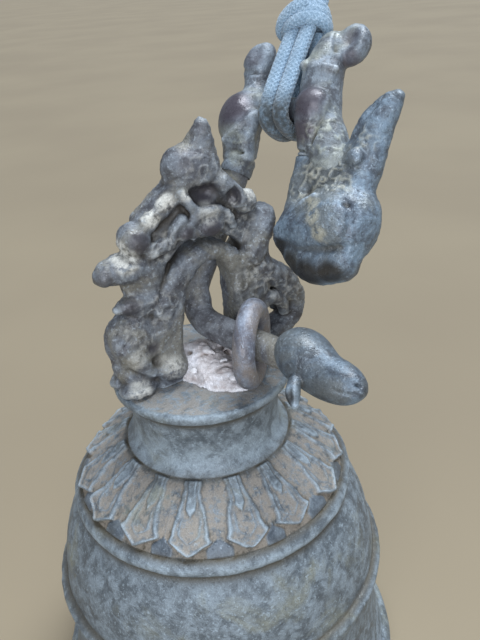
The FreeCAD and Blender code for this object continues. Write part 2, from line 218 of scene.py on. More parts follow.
class Clay:
    """Signed distances on a grid, in millimetres, to which soft shapes are added and cut."""

    def __init__(self, low, high, step):
        self.step = step
        self.low = np.array(low, float)
        count = np.ceil((np.array(high, float) - self.low) / step).astype(int) + 1
        self.field = np.full(count, FAR, np.float32)

    def window(self, low, high):
        """Part of the grid between two corners, with its coordinates."""
        size = np.array(self.field.shape)
        first = np.clip(np.floor((low - self.low) / self.step).astype(int), 0, size)
        last = np.clip(np.ceil((high - self.low) / self.step).astype(int) + 1, 0, size)
        part = tuple(slice(a, b) for a, b in zip(first, last))
        axes = [self.low[i] + self.step * np.arange(first[i], last[i]) for i in range(3)]
        return part, np.meshgrid(*axes, indexing="ij", sparse=True)

    def blend(self, part, distance, soft, cut):
        """Add a shape to the clay, or cut it out, with a soft seam."""
        old = self.field[part]
        if old.size == 0:
            return
        if cut:
            near = np.maximum(soft - np.abs(old + distance), 0.0)
            self.field[part] = np.maximum(old, -distance) + near * near / (4.0 * soft)
        else:
            near = np.maximum(soft - np.abs(old - distance), 0.0)
            self.field[part] = np.minimum(old, distance) - near * near / (4.0 * soft)

    def limb(self, stations, soft=1.2, cut=False, flat=1.0):
        """Round limb through (x, y, z, radius) stations; flat over 1 squeezes it along z."""
        p = curve_through(stations)
        reach = p[:, 3].max() + soft + 2 * self.step
        part, place = self.window(p[:, :3].min(0) - reach, p[:, :3].max(0) + reach)
        place = [place[0], place[1], place[2] * flat]
        self.blend(part, chain_distance(place, p * np.array([1.0, 1.0, flat, 1.0])), soft, cut)

    def slab(self, stations, half, rounding, soft=1.2, cut=False):
        """Flat casting through (x, z, radius) stations, as thick as twice half along y."""
        p = np.insert(curve_through(stations), 1, 0.0, axis=1)
        reach = np.array([p[:, 3].max(), half, p[:, 3].max()]) + soft + 2 * self.step
        part, (x, y, z) = self.window(p[:, :3].min(0) - reach, p[:, :3].max(0) + reach)
        side = chain_distance([x, np.zeros_like(y), z], p) + rounding
        depth = np.abs(y) - (half - rounding)
        outside = np.sqrt(np.maximum(side, 0.0) ** 2 + np.maximum(depth, 0.0) ** 2)
        self.blend(part, outside + np.minimum(np.maximum(side, depth), 0.0) - rounding, soft, cut)

    def egg(self, centre, radii, soft=1.2, cut=False, tilt=0.0, plane=(0, 1)):
        """Ellipsoid, tilted by some degrees in the plane of two axes."""
        centre = np.array(centre, float)
        reach = max(radii) + soft + 2 * self.step
        part, place = self.window(centre - reach, centre + reach)
        rest = [place[i] - centre[i] for i in range(3)]
        u, v = plane
        c, s = math.cos(math.radians(tilt)), math.sin(math.radians(tilt))
        rest[u], rest[v] = rest[u] * c + rest[v] * s, rest[v] * c - rest[u] * s
        k0 = np.sqrt(sum((rest[i] / radii[i]) ** 2 for i in range(3)))
        k1 = np.sqrt(sum((rest[i] / radii[i] ** 2) ** 2 for i in range(3)))
        self.blend(part, k0 * (k0 - 1.0) / np.maximum(k1, 1e-6), soft, cut)

    def hoop(self, centre, axis, ring, thick, soft=1.0, cut=False):
        """Ring of a round section."""
        centre = np.array(centre, float)
        axis = np.array(axis, float) / np.linalg.norm(axis)
        reach = ring + thick + soft + 2 * self.step
        part, place = self.window(centre - reach, centre + reach)
        rest = [place[i] - centre[i] for i in range(3)]
        lift = sum(rest[i] * axis[i] for i in range(3))
        flat = np.sqrt(np.maximum(sum(r * r for r in rest) - lift * lift, 0.0))
        self.blend(part, np.sqrt((flat - ring) ** 2 + lift ** 2) - thick, soft, cut)

    def trim(self, axis, limit, keep_above):
        """Cut the clay off flat at a place on one axis."""
        size = self.field.shape[axis]
        place = self.low[axis] + self.step * np.arange(size)
        shape = [1, 1, 1]
        shape[axis] = size
        distance = (limit - place if keep_above else place - limit).reshape(shape)
        self.field = np.maximum(self.field, distance).astype(np.float32)

    def surface(self):
        """Points and quads of the clay's surface."""
        field = self.field
        inside = field < 0
        n = np.array(field.shape) - 1
        corners = [(i, j, k) for i in (0, 1) for j in (0, 1) for k in (0, 1)]
        full = sum(inside[i:n[0] + i, j:n[1] + j, k:n[2] + k].astype(np.int8) for i, j, k in corners)
        active = (full > 0) & (full < 8)
        number = np.full(active.shape, -1, np.int64)
        number[active] = np.arange(active.sum())
        cell = np.argwhere(active)
        total = np.zeros(cell.shape)
        count = np.zeros(len(cell))
        for axis in range(3):
            step = np.eye(3, dtype=int)[axis]
            for corner in corners:
                if corner[axis]:
                    continue
                start = cell + corner
                a = field[tuple(start.T)]
                b = field[tuple((start + step).T)]
                cross = (a < 0) != (b < 0)
                t = a[cross] / (a[cross] - b[cross])
                total[cross] += np.array(corner) + t[:, None] * step
                count[cross] += 1
        points = self.low + self.step * (cell + total / count[:, None])
        quads = []
        for axis in range(3):
            u, v = [i for i in range(3) if i != axis]
            lower = [slice(None)] * 3
            upper = [slice(None)] * 3
            lower[axis] = slice(0, -1)
            upper[axis] = slice(1, None)
            change = inside[tuple(lower)] != inside[tuple(upper)]
            edge = np.argwhere(change)
            keep = (edge[:, u] > 0) & (edge[:, v] > 0) & (edge[:, u] < n[u]) & (edge[:, v] < n[v])
            edge = edge[keep]
            flip = inside[tuple(edge.T)] ^ (axis == 1)
            du, dv = np.eye(3, dtype=int)[u], np.eye(3, dtype=int)[v]
            ring = [number[tuple((edge - a).T)] for a in (du + dv, dv, 0 * du, du)]
            quad = np.stack(ring, 1)
            quad[flip] = quad[flip][:, ::-1]
            quads.append(quad)
        return points, np.vstack(quads)

    def closeness(self, points, reach):
        """Share of metal within reach of each point: over a half in hollows, under on ridges."""
        span = 2 * max(int(round(reach / self.step)), 1) + 1
        share = np.clip(0.5 - self.field / self.step, 0.0, 1.0)
        for axis in (0, 1, 2, 0, 1, 2):
            turned = np.moveaxis(share, axis, 0)
            padded = np.pad(turned, ((span // 2 + 1, span // 2), (0, 0), (0, 0)), mode="edge")
            run = np.cumsum(padded, axis=0, dtype=np.float64)
            share = np.moveaxis((run[span:] - run[:-span]) / span, 0, axis)
        place = (points - self.low) / self.step
        cell = np.clip(np.floor(place).astype(int), 0, np.array(share.shape) - 2)
        return between_corners(share, cell, np.clip(place - cell, 0.0, 1.0))

    def piece(self, name, material, worn, grain, paint=None, axes=np.eye(3), origin=np.zeros(3)):
        """Object from the clay, worn by some depth in grains of some size, with its masks."""
        paint = paint or {}
        points, quads = self.surface()
        fine = self.closeness(points, 0.8)
        broad = self.closeness(points, 2.6)
        # Painted shade in hollows, from how much metal is near, and between the raised curls; rubbed edges on
        # ridges.
        masks = {
            "hollow": smooth_step(fine * 0.5 + broad * 0.5, 0.50, 0.66),
            "ridge": smooth_step(-fine, -0.44, -0.30),
        }
        for mask in ("crust_and_highlight", "dark"):
            masks[mask] = painted(points, paint.get(mask, ()))
        curls = painted(points, paint.get("curls", ()))
        curl = 1.0 - smooth_step(np.abs(rough_noise(points + 90, 2.6, 2)), 0.0, 0.42)
        masks["crust_and_highlight"] = np.maximum(masks["crust_and_highlight"], curls * curl * 0.8)
        masks["hollow"] = np.maximum(masks["hollow"], curls * (1.0 - curl) * 0.55)
        normals = point_normals(points, quads)
        a, b = points[quads[:, 0]], points[quads[:, 2]]
        outward = np.einsum("ij,ij->i", a, np.cross(points[quads[:, 1]], b)).sum() >= 0
        normals = normals if outward else -normals
        lift = worn * (0.7 * rough_noise(points, grain, 3) + 0.3 * rough_noise(points + 40, grain / 4, 2))
        lift = lift * (1.0 - 0.7 * masks["dark"]) + 0.5 * curls * (curl - 0.45)
        points = points + normals * lift[:, None]
        return make_mesh(name, origin + points @ axes, quads, masks, material)


def painted(points, spots):
    """Mask of soft round spots (x, y, z, radius, strength)."""
    mask = np.zeros(len(points))
    for x, y, z, radius, strength in spots:
        gap = np.linalg.norm(points - np.array([x, y, z]), axis=1)
        mask = np.maximum(mask, strength * smooth_step(-gap, -radius, -radius * 0.45))
    return mask


# ---- materials
METAL_RELIEF = 0.00035    # depth of the pitting in the metals, in metres


def colours(text):
    """Linear colours from six-digit codes with spaces between them."""
    return [(*[((v / 255.0 + 0.055) / 1.055) ** 2.4 for v in bytes.fromhex(code)], 1.0)
            for code in text.split()]


class Paint:
    """A material being put together from nodes."""

    def __init__(self, name):
        self.material = bpy.data.materials.new(name)
        self.material.use_nodes = True
        self.tree = self.material.node_tree
        self.shader = self.tree.nodes["Principled BSDF"]
        self.place = self.add("ShaderNodeTexCoord").outputs["Object"]

    def add(self, kind, **values):
        """New node with some of its inputs set or joined."""
        node = self.tree.nodes.new(kind)
        for key, value in values.items():
            self.feed(node, key.replace("_", " "), value)
        return node

    def feed(self, node, key, value):
        """Set an input of a node, or join another node's output to it."""
        socket = node.inputs[key]
        if isinstance(value, bpy.types.NodeSocket):
            self.tree.links.new(value, socket)
        else:
            socket.default_value = value

    def noise(self, scale, detail=4.0, roughness=0.6, distortion=0.0):
        """Noise value whose scale is in features per metre."""
        node = self.add("ShaderNodeTexNoise", Vector=self.place, Scale=scale, Detail=detail,
                        Roughness=roughness, Distortion=distortion)
        return node.outputs["Fac"]

    def cells(self, scale):
        """Distance to the nearest of scattered points."""
        return self.add("ShaderNodeTexVoronoi", Vector=self.place, Scale=scale).outputs["Distance"]

    def ramp(self, value, low, high, start=0.0, end=1.0):
        """Value stretched smoothly from low..high to start..end."""
        node = self.tree.nodes.new("ShaderNodeMapRange")
        node.interpolation_type = "SMOOTHSTEP"
        for key, given in enumerate((value, low, high, start, end)):
            self.feed(node, key, given)
        return node.outputs["Result"]

    def math(self, kind, a, b):
        """Two values put together."""
        node = self.tree.nodes.new("ShaderNodeMath")
        node.operation = kind
        self.feed(node, 0, a)
        self.feed(node, 1, b)
        return node.outputs["Value"]

    def mix(self, share, a, b, kind="MIX"):
        """Two colours mixed."""
        node = self.tree.nodes.new("ShaderNodeMix")
        node.data_type = "RGBA"
        node.blend_type = kind
        for key, given in zip((0, 6, 7), (share, a, b)):
            self.feed(node, key, given)
        return node.outputs[2]

    def mask(self, name):
        """Value of one of the mesh's masks."""
        node = self.tree.nodes.new("ShaderNodeAttribute")
        node.attribute_name = name
        return node.outputs["Fac"]

    def finish(self, **values):
        """The material, once its shader's inputs are set or joined."""
        for key, value in values.items():
            self.feed(self.shader, key.replace("_", " "), value)
        return self.material

    def bump(self, height, distance, strength=1.0, normal=None):
        """Surface relief of some depth in metres, over another if one is given."""
        under = {"Normal": normal} if normal else {}
        node = self.add("ShaderNodeBump", Height=height, Distance=distance, Strength=strength, **under)
        return node.outputs["Normal"]


def metal(name, codes, gloss=(0.42, 0.72), metallic=0.25, patina_at=(0.46, 0.62)):
    """Corroded cast bronze; codes are its body, deep, patina, shade, edge, crust and worn colours: shade is
    painted shade in hollows, edge is rubbed wear with a painted highlight on the bell's neck, crust is pale
    encrustation with painted highlights on the arch, and worn is dark polished patina and also painted shade
    on undersides and in pits.
    """
    body, deep, patina, shade_tone, edge, crust_and_highlight, worn = colours(codes)
    p = Paint(name)
    broad = p.noise(55.0, 5.0, 0.62, 0.6)
    blotch = p.noise(210.0, 5.0, 0.65, 0.4)
    speck = p.noise(900.0, 3.0, 0.7)
    grit = p.noise(2600.0, 2.0, 0.6)
    base = p.mix(p.ramp(blotch, 0.36, 0.64), deep, body)
    base = p.mix(p.ramp(broad, *patina_at), base, patina)
    base = p.mix(p.ramp(speck, 0.54, 0.70, 0.0, 0.55), base, edge)
    base = p.mix(p.ramp(speck, 0.44, 0.30, 0.0, 0.6), base, deep)
    # Painted shade: the darkest tone laid into hollows and grooves.
    shade_share = p.math("MULTIPLY", p.mask("hollow"), p.ramp(blotch, 0.25, 0.6, 0.55, 1.0))
    base = p.mix(shade_share, base, shade_tone)
    # Rubbed edges lighter, and on the bell's neck a painted highlight.
    wear_and_highlight = p.math("MULTIPLY", p.mask("ridge"), p.ramp(blotch, 0.3, 0.6, 0.25, 0.8))
    base = p.mix(wear_and_highlight, base, edge)
    # Dark polished patina on lobes and knees, and painted shade on undersides and in pits.
    base = p.mix(p.math("MULTIPLY", p.mask("dark"), 0.9), base, worn)
    # Pale encrustation, and on the arch some painted highlights.
    crust_and_highlight_share = p.math("MULTIPLY", p.mask("crust_and_highlight"), p.ramp(p.noise(420.0, 4.0, 0.7), 0.34, 0.56))
    base = p.mix(crust_and_highlight_share, base, crust_and_highlight)
    grain = p.mix(p.ramp(grit, 0.3, 0.7), (0.55, 0.55, 0.55, 1.0), (1.0, 1.0, 1.0, 1.0))
    base = p.mix(0.5, base, grain, "MULTIPLY")
    rough = p.ramp(blotch, 0.3, 0.7, *gloss)
    rough = p.math("SUBTRACT", rough, p.math("MULTIPLY", p.mask("dark"), 0.16))
    rough = p.math("ADD", rough, p.math("MULTIPLY", crust_and_highlight_share, 0.2))
    calm = p.math("SUBTRACT", 1.0, p.math("MULTIPLY", p.mask("dark"), 0.75))
    relief = p.math("ADD", p.math("MULTIPLY", speck, 0.6), p.math("MULTIPLY", blotch, 0.7))
    pits = p.ramp(p.cells(620.0), 0.02, 0.28, -0.35, 0.0)
    relief = p.math("MULTIPLY", p.math("ADD", relief, pits), calm)
    normal = p.bump(grit, METAL_RELIEF * 0.25, 0.6, p.bump(relief, METAL_RELIEF))
    return p.finish(Base_Color=base, Roughness=rough, Metallic=metallic, Normal=normal)


def woven(name, codes):
    """Cotton cord: light yarns, shade between them, and painted shade where it wraps under the bar."""
    light, shade, shade_under_bar = colours(codes)
    p = Paint(name)
    fibre = p.noise(2400.0, 4.0, 0.7)
    cloud = p.noise(160.0, 3.0, 0.6)
    base = p.mix(p.ramp(fibre, 0.35, 0.65), shade, light)
    base = p.mix(p.ramp(cloud, 0.35, 0.7, 0.0, 0.45), base, shade)
    base = p.mix(p.math("MULTIPLY", p.mask("hollow"), 0.7), base, shade)
    # Painted shade where the dark mask is set, on the sling under the bar.
    shaded_under_bar = p.math("MULTIPLY", p.mask("dark"), p.ramp(p.noise(500.0), 0.3, 0.6, 0.55, 1.0))
    base = p.mix(shaded_under_bar, base, shade_under_bar)
    return p.finish(Base_Color=base, Roughness=0.92, Sheen_Weight=0.25, Normal=p.bump(fibre, 0.00025, 0.8))


def iron(name, codes):
    """Rusty wrought iron; codes are its dark scale, rust and bright rust colours."""
    scale, rust, bright = colours(codes)
    p = Paint(name)
    blotch = p.noise(300.0, 5.0, 0.65, 0.5)
    grit = p.noise(1800.0, 3.0, 0.7)
    base = p.mix(p.ramp(blotch, 0.38, 0.62), scale, rust)
    base = p.mix(p.ramp(grit, 0.55, 0.75, 0.0, 0.7), base, bright)
    return p.finish(Base_Color=base, Roughness=p.ramp(blotch, 0.3, 0.7, 0.6, 0.9), Metallic=0.3,
                    Normal=p.bump(p.math("ADD", blotch, grit), 0.0005))


BELL_BRONZE = metal("bell_bronze", "86929D 58616A 8A8D82 4E483C A6B6C4 968E85 3E4858", patina_at=(0.52, 0.78))
ARCH_BRONZE = metal("arch_bronze", "787F89 4A4B52 7A7974 383430 ACB6C0 CCCCC8 424048")
BAR_BRONZE = metal("bar_bronze", "787C84 525258 7E7C76 464038 A8B0BC A09C8C 46444C")
RING_BRONZE = metal("ring_bronze", "8690A2 62626C 847E7E 463C34 A6B2C4 A08C82 46444C", (0.36, 0.6))
HEAD_BRONZE = metal("head_bronze", "7A8DA0 4E5662 747C82 42403C A4B4C4 B2B0A2 302E2C", (0.36, 0.64), 0.3)
FIGURE_BRONZE = metal("figure_bronze", "8894A2 5A5E66 8A9090 525046 B0BAC4 A8ACA0 4E4852", (0.34, 0.7))
FILLER = metal("filler_metal", "CECACE A69C9C D6D6DE 7E7064 EAEAF0 D6C6AA 78706E", (0.55, 0.85), 0.0)
CLAPPER_BRONZE = metal("clapper_bronze", "74684E 463E30 607662 383022 B09C70 969678 46423C")
CORD = woven("cord_cotton", "A6BED4 68829A 3A3E40")
IRON = iron("iron", "2E2622 68422A 885C3A")


# ---- cord
BAR_AT = hook_point(3.0, 66.0)
KNOT_AT = hook_point(-1.0, 93.0)
PULL = (KNOT_AT - BAR_AT) / np.linalg.norm(KNOT_AT - BAR_AT)
ACROSS = np.cross(PULL, FACE)
STRAND_WIDE = 4.8         # width of one strand
STRAND_THICK = 3.6        # its thickness
BRAID_STEP = 0.22         # from one row of the braid's points to the next
BRAID_COLUMNS = 64        # points round the cord
BRAID_PITCH = 1.5         # length of one yarn's stitch
BRAID_YARNS = 7.0         # stitches round the cord
STRAND_STEP = 5.2         # from one strand to the next
KNOT_HALF = 4.5           # half the knot's height
STRAND_SINK = 1.5         # how far a strand runs into a knot
CORD_RISE = 30.0          # cord between the two knots
SLING_TOP = float(np.linalg.norm(KNOT_AT - BAR_AT)) - KNOT_HALF + STRAND_SINK
SLING_ROUTE = [(-2.7, SLING_TOP), (-6.8, 3), (-7.2, -7.2), (7.2, -7.2), (6.8, 3), (2.7, SLING_TOP)]


def spline_points(route):
    """Points of the smooth line that a route's points steer, in millimetres."""
    data = bpy.data.curves.new("route", "CURVE")
    data.dimensions = "3D"
    data.resolution_u = 24
    spline = data.splines.new("NURBS")
    spline.points.add(len(route) - 1)
    for point, place in zip(spline.points, route):
        point.co = (*[float(v) * MM for v in place], 1.0)
    spline.order_u = 3
    spline.use_endpoint_u = True
    holder = add_object("route", data)
    bpy.context.view_layer.update()
    mesh = bpy.data.meshes.new_from_object(holder)
    line = np.array([v.co for v in mesh.vertices], float) / MM
    bpy.data.objects.remove(holder)
    bpy.data.meshes.remove(mesh)
    return line


def evenly(line, step, closed=False):
    """The same line with points a step apart."""
    if closed:
        line = np.vstack([line, line[:1]])
    run = np.concatenate([[0.0], np.cumsum(np.linalg.norm(np.diff(line, axis=0), axis=1))])
    count = max(int(round(run[-1] / step)), 4)
    place = np.linspace(0.0, run[-1], count + 1)
    if closed:
        place = place[:-1]
    return np.stack([np.interp(place, run, line[:, i]) for i in range(3)], 1)


def braid(line, wide, thick, across, closed=False):
    """Points, quads and masks of a braided flat cord along a line."""
    line = evenly(line, BRAID_STEP, closed)
    rows, columns = len(line), BRAID_COLUMNS
    if closed:
        tangent = np.roll(line, -1, 0) - np.roll(line, 1, 0)
    else:
        tangent = np.gradient(line, axis=0)
    tangent /= np.linalg.norm(tangent, axis=1)[:, None]
    side = np.tile(across, (rows, 1))
    side = side - np.einsum("ij,ij->i", side, tangent)[:, None] * tangent
    side /= np.linalg.norm(side, axis=1)[:, None]
    normal = np.cross(tangent, side)
    angle = np.arange(columns) * 2 * math.pi / columns
    run = np.arange(rows)[:, None] * BRAID_STEP / BRAID_PITCH
    turn = angle[None, :] * BRAID_YARNS / (2 * math.pi)
    yarn = np.maximum(np.cos(2 * math.pi * (run + turn)), np.cos(2 * math.pi * (run - turn)))
    lift = 0.95 + 0.055 * yarn
    a = np.sign(np.cos(angle)) * np.abs(np.cos(angle)) ** 0.8 * wide / 2
    b = np.sign(np.sin(angle)) * np.abs(np.sin(angle)) ** 0.8 * thick / 2
    points = line[:, None] + side[:, None] * (a * lift)[..., None] + normal[:, None] * (b * lift)[..., None]
    points = points.reshape(-1, 3)
    quads = grid_quads(rows, columns, closed)
    # Painted shade between the yarns.
    hollow = smooth_step(-yarn, -0.45, 0.35).ravel() * 0.85
    if not closed:
        ends = np.array([line[0] - tangent[0] * 0.4, line[-1] + tangent[-1] * 0.4])
        points = np.vstack([points, ends])
        hollow = np.concatenate([hollow, [0.0, 0.0]])
        half = np.arange(0, columns, 2)
        low = np.stack([half, np.full(len(half), rows * columns), (half + 2) % columns, half + 1], 1)
        top = low + (rows - 1) * columns
        top[:, 1] = rows * columns + 1
        quads = np.vstack([quads, low, top[:, ::-1]])
    return points, quads, hollow


def make_knot(name, wraps, node):
    """One piece from several (points, quads, hollow) wraps of cord."""
    starts = np.cumsum([0] + [len(points) for points, _, _ in wraps])
    points = np.vstack([points for points, _, _ in wraps])
    quads = np.vstack([quads + start for (_, quads, _), start in zip(wraps, starts)])
    hollow = np.concatenate([hollow for _, _, hollow in wraps])
    knot = make_mesh(name, points, quads, {"hollow": hollow}, CORD)
    settle(knot, node, "hook")
    return knot


def loop(centre, wide, deep, rise, tilt, squeeze=0.0):
    """Closed wrap round the cord; rise is its height, tilt how much it slants."""
    t = np.arange(96) * 2 * math.pi / 96
    u = np.cos(t) * wide
    v = np.sin(t) * deep
    w = rise + tilt * np.cos(t) + squeeze * np.sin(2 * t)
    return centre + ACROSS * u[:, None] + FACE * v[:, None] + PULL * w[:, None]


def make_cords():
    """Doubled cord: a sling under the top bar, its knot, two rising strands and the end knot."""
    wraps = []
    for shape in ((4.6, 4, 2.6, 0.4, 0.2), (5.6, 4.6, 0, -0.3, 0.3), (6.6, 5.2, -2.6, -0.5, 0.4)):
        wraps.append(braid(loop(KNOT_AT, *shape), 4.2, 3.0, PULL, closed=True))
    flap = [KNOT_AT + ACROSS * a + FACE * f + PULL * p for a, f, p in (
        (-2, -4.6, 2.8), (2.6, -5.6, 1), (7.2, -4, -1.8), (8.2, 0, -3), (4, 3.4, -2))]
    wraps.append(braid(curve_through(flap, 12), 4.4, 2.8, PULL))
    wraps.append(braid(loop(KNOT_AT, 2.4, 1.8, 0.0, 0.0), 5.0, 8.0, PULL, closed=True))
    knot = make_knot("sling_knot", wraps, "cord_knot")
    end_centre = KNOT_AT + PULL * (KNOT_HALF + CORD_RISE + 5.0)
    wraps = []
    for shape in ((3.6, 3.4, 2.4, 0.8), (4, 3.8, -1.4, -1), (2, 2, 0.4, 1.6)):
        wraps.append(braid(loop(end_centre, *shape), 3.8, 3.2, PULL, closed=True))
    end = make_knot("end_knot_wraps", wraps, "end_knot")
    for name, offset in (("left", -STRAND_STEP / 2), ("right", STRAND_STEP / 2)):
        centre = BAR_AT + ACROSS * offset
        foot = KNOT_AT + ACROSS * offset + PULL * (KNOT_HALF - STRAND_SINK)
        line = spline_points([centre + FACE * f + PULL * p for f, p in SLING_ROUTE])
        rise = spline_points([foot, foot + PULL * CORD_RISE / 2 + PULL * STRAND_SINK,
                              foot + PULL * (CORD_RISE + 2 * STRAND_SINK)])
        for start, node, way, held in (
                ("sling_", "sling_strand_", line, knot), ("rising_", "rising_strand_", rise, end)):
            points, quads, hollow = braid(way, STRAND_WIDE, STRAND_THICK, ACROSS)
            masks = {"hollow": hollow}
            if way is line:
                # Painted shade on the sling where it wraps under the bar.
                masks["dark"] = smooth_step((BAR_AT - points) @ PULL, -5.0, 4.5) * 0.95
            piece = make_mesh(start + name, points, quads, masks, CORD)
            settle(piece, node + name, "hook")


make_cords()


# ---- bell
PLAIN, RINGS, LOTUS, NECK, RIM, TOP, HIDDEN = range(7)
OUTLINE = [               # zone, step between points, smooth or not, and (radius, height) points
    (PLAIN, 1, False, [(57, 0), (63, 0), (63, 4), (62.4, 6.6), (61.2, 8.2), (59.6, 9)]),
    (PLAIN, 1.4, True, [(59.6, 9), (57.2, 17), (55.5, 27), (54.5, 38), (54.3, 49.7)]),
    (RINGS, 0.5, True, [(54.3, 49.7), (55.8, 50.4), (57, 52.4), (55.8, 54.4), (54.3, 55.1)]),
    (PLAIN, 0.9, True, [(54.3, 55.1), (53.2, 63), (51.4, 70.5), (48.4, 78), (44.7, 84.2)]),
    (RINGS, 0.36, True, [(44.7, 84.2), (45.1, 84.9), (45.9, 86), (46, 87.2), (45.2, 88.6), (43.9, 89.6),
        (43.1, 89.9)]),
    (LOTUS, 0.3, True, [(43.1, 89.9), (41.3, 92.5), (38.8, 95.3), (35.6, 97.9), (31.6, 100.7), (26.4, 104)]),
    (NECK, 0.5, True, [(26.4, 104), (24.6, 105.8), (23.5, 108.5), (23.2, 111), (23.3, 115), (24, 119.4)]),
    (RIM, 0.36, True, [(24, 119.4), (24.6, 121.6), (26, 123.6), (27.5, 124.6), (27.7, 125.8), (27.4, 126.8),
        (26.6, 127)]),
    (TOP, 0.7, True, [(26.6, 127), (20, 127), (12, 127), (4, 127)]),
    (HIDDEN, 2, False, [(4, 127), (4, 120)]),
    (HIDDEN, 1.6, False, [(4, 120), (10, 120), (13, 120), (16.6, 118.4), (18, 115), (18, 109), (18, 103)]),
    (HIDDEN, 2.4, False, [(18, 103), (25, 98.6), (30.4, 94.6), (39.4, 84), (44.5, 74), (47.6, 64), (50, 46),
        (51.2, 24), (53.4, 12), (57, 3), (57, 0)]),
]
SEAMS = ((83.2, 85), (89.2, 90.6), (48.9, 50.2), (54.4, 55.8), (103.2, 105.2), (121, 123.4))
PETAL_TIP = 0.965         # where a petal ends, as a share of the way from the neck to the ring
PETAL_TAPER = 0.17        # how much of it is the pointed end
SPINE_END = 0.52          # where its raised spine ends
COLUMNS = 900


def profile_points():
    """Outline of the bell as (radius, height, zone) rows."""
    rows = []
    for zone, step, smooth, outline in OUTLINE:
        curved = curve_through(outline, 8) if smooth else np.array(outline, float)
        points = evenly(np.insert(curved, 1, 0.0, axis=1), step)
        rows += [(r, z, zone) for r, _, z in (points[1:] if rows else points)]
    return np.array(rows[:-1])


def petal_relief(share, offset, pitch):
    """Height and colour masks of one lotus petal; share runs from neck to ring, offset across it in mm."""
    half = pitch * 0.5
    wide = half * (0.50 + 0.20 * smooth_step(share, 0.1, 0.74))
    taper = np.clip((PETAL_TIP - share) / PETAL_TAPER, 0.0, 1.0)
    wide = wide * (1.0 + 0.16 * np.exp(-((share - PETAL_TIP + PETAL_TAPER) / 0.05) ** 2))
    wide = wide * np.where(share > PETAL_TIP - PETAL_TAPER, taper ** 0.75, 1.0)
    away = np.abs(offset)
    body = smooth_step(wide - away, -0.10, 0.35) * (share < PETAL_TIP)
    rim = np.exp(-((wide - away - 0.9) / 0.80) ** 2) * (share < PETAL_TIP)
    inner_wide = wide * 0.5 * smooth_step(-share, -0.84, -0.70)
    inner = np.exp(-((away - inner_wide) / 0.4) ** 2)
    inner = inner * smooth_step(share, 0.4, 0.55) * smooth_step(-share, -0.86, -0.78)
    spine_wide = half * 0.24 * smooth_step(-share, -SPINE_END, -SPINE_END + 0.14)
    spine = smooth_step(spine_wide - away, -0.25, 0.45) * (share < SPINE_END)
    lift = smooth_step(share, 0.55, 0.93)
    height = body * (0.35 + 0.75 * lift) + rim * (0.45 + 0.35 * lift) + inner * 0.28 + spine * 0.75
    field = body * (1.0 - np.clip(rim + inner + spine * 1.3, 0.0, 1.0))
    return height, field, body


def bell_relief(rows, angle):
    """Relief in mm, and the tan and dark masks, over the whole bell."""
    height = np.zeros((len(rows), COLUMNS))
    tan = np.zeros_like(height)
    dark = np.zeros_like(height)
    lotus = np.flatnonzero(rows[:, 2] == LOTUS)
    run = np.linspace(1.0, 0.0, len(lotus))
    step = 2 * math.pi / PETALS
    phase = (angle + math.radians(3.6)) / step
    number = np.floor(phase).astype(int) % PETALS
    skew = RNG.uniform(-0.05, 0.05, PETALS)
    size = RNG.uniform(-0.04, 0.04, PETALS)
    local = (phase - np.floor(phase) - 0.5 - skew[number]) * step
    for row, share in zip(lotus, run):
        radius = rows[row, 0]
        circle = np.stack([radius * np.cos(angle), radius * np.sin(angle), np.full(COLUMNS, rows[row, 1])], 1)
        wander = rough_noise(circle, 5.0, 3)
        place = share * (1.0 + size[number]) + 0.016 * rough_noise(circle + 60.0, 6.0, 2)
        offset = local * radius + 0.5 * wander
        relief, field, body = petal_relief(np.clip(place, 0.0, 1.2), offset, step * radius)
        relief = relief * (1.0 + 0.3 * wander)
        between = (np.abs(local) - step / 2) * radius
        tip_wide = 3.6 * smooth_step(share, 0.74, 0.92)
        second = smooth_step(tip_wide - np.abs(between), -0.3, 0.5) * (1.0 - body)
        fade = smooth_step(share, 0.0, 0.05)
        height[row] = (relief + second * 0.5) * fade
        tan[row] = np.maximum(field, (1.0 - body) * (1.0 - second)) * smooth_step(share, 0.02, 0.1)
        dark[row] = second * 0.8
    return height, tan, dark


def blur_rings(values, reach):
    """Average of a sheet of values over a few rows and columns."""
    kernel = np.exp(-(np.arange(-3 * reach, 3 * reach + 1) / reach) ** 2 / 2)
    kernel /= kernel.sum()
    out = sum(w * np.roll(values, k, axis=1) for w, k in zip(kernel, range(-3 * reach, 3 * reach + 1)))
    padded = np.pad(out, ((3 * reach, 3 * reach), (0, 0)), mode="edge")
    return sum(w * padded[k:k + len(values)] for k, w in enumerate(kernel))


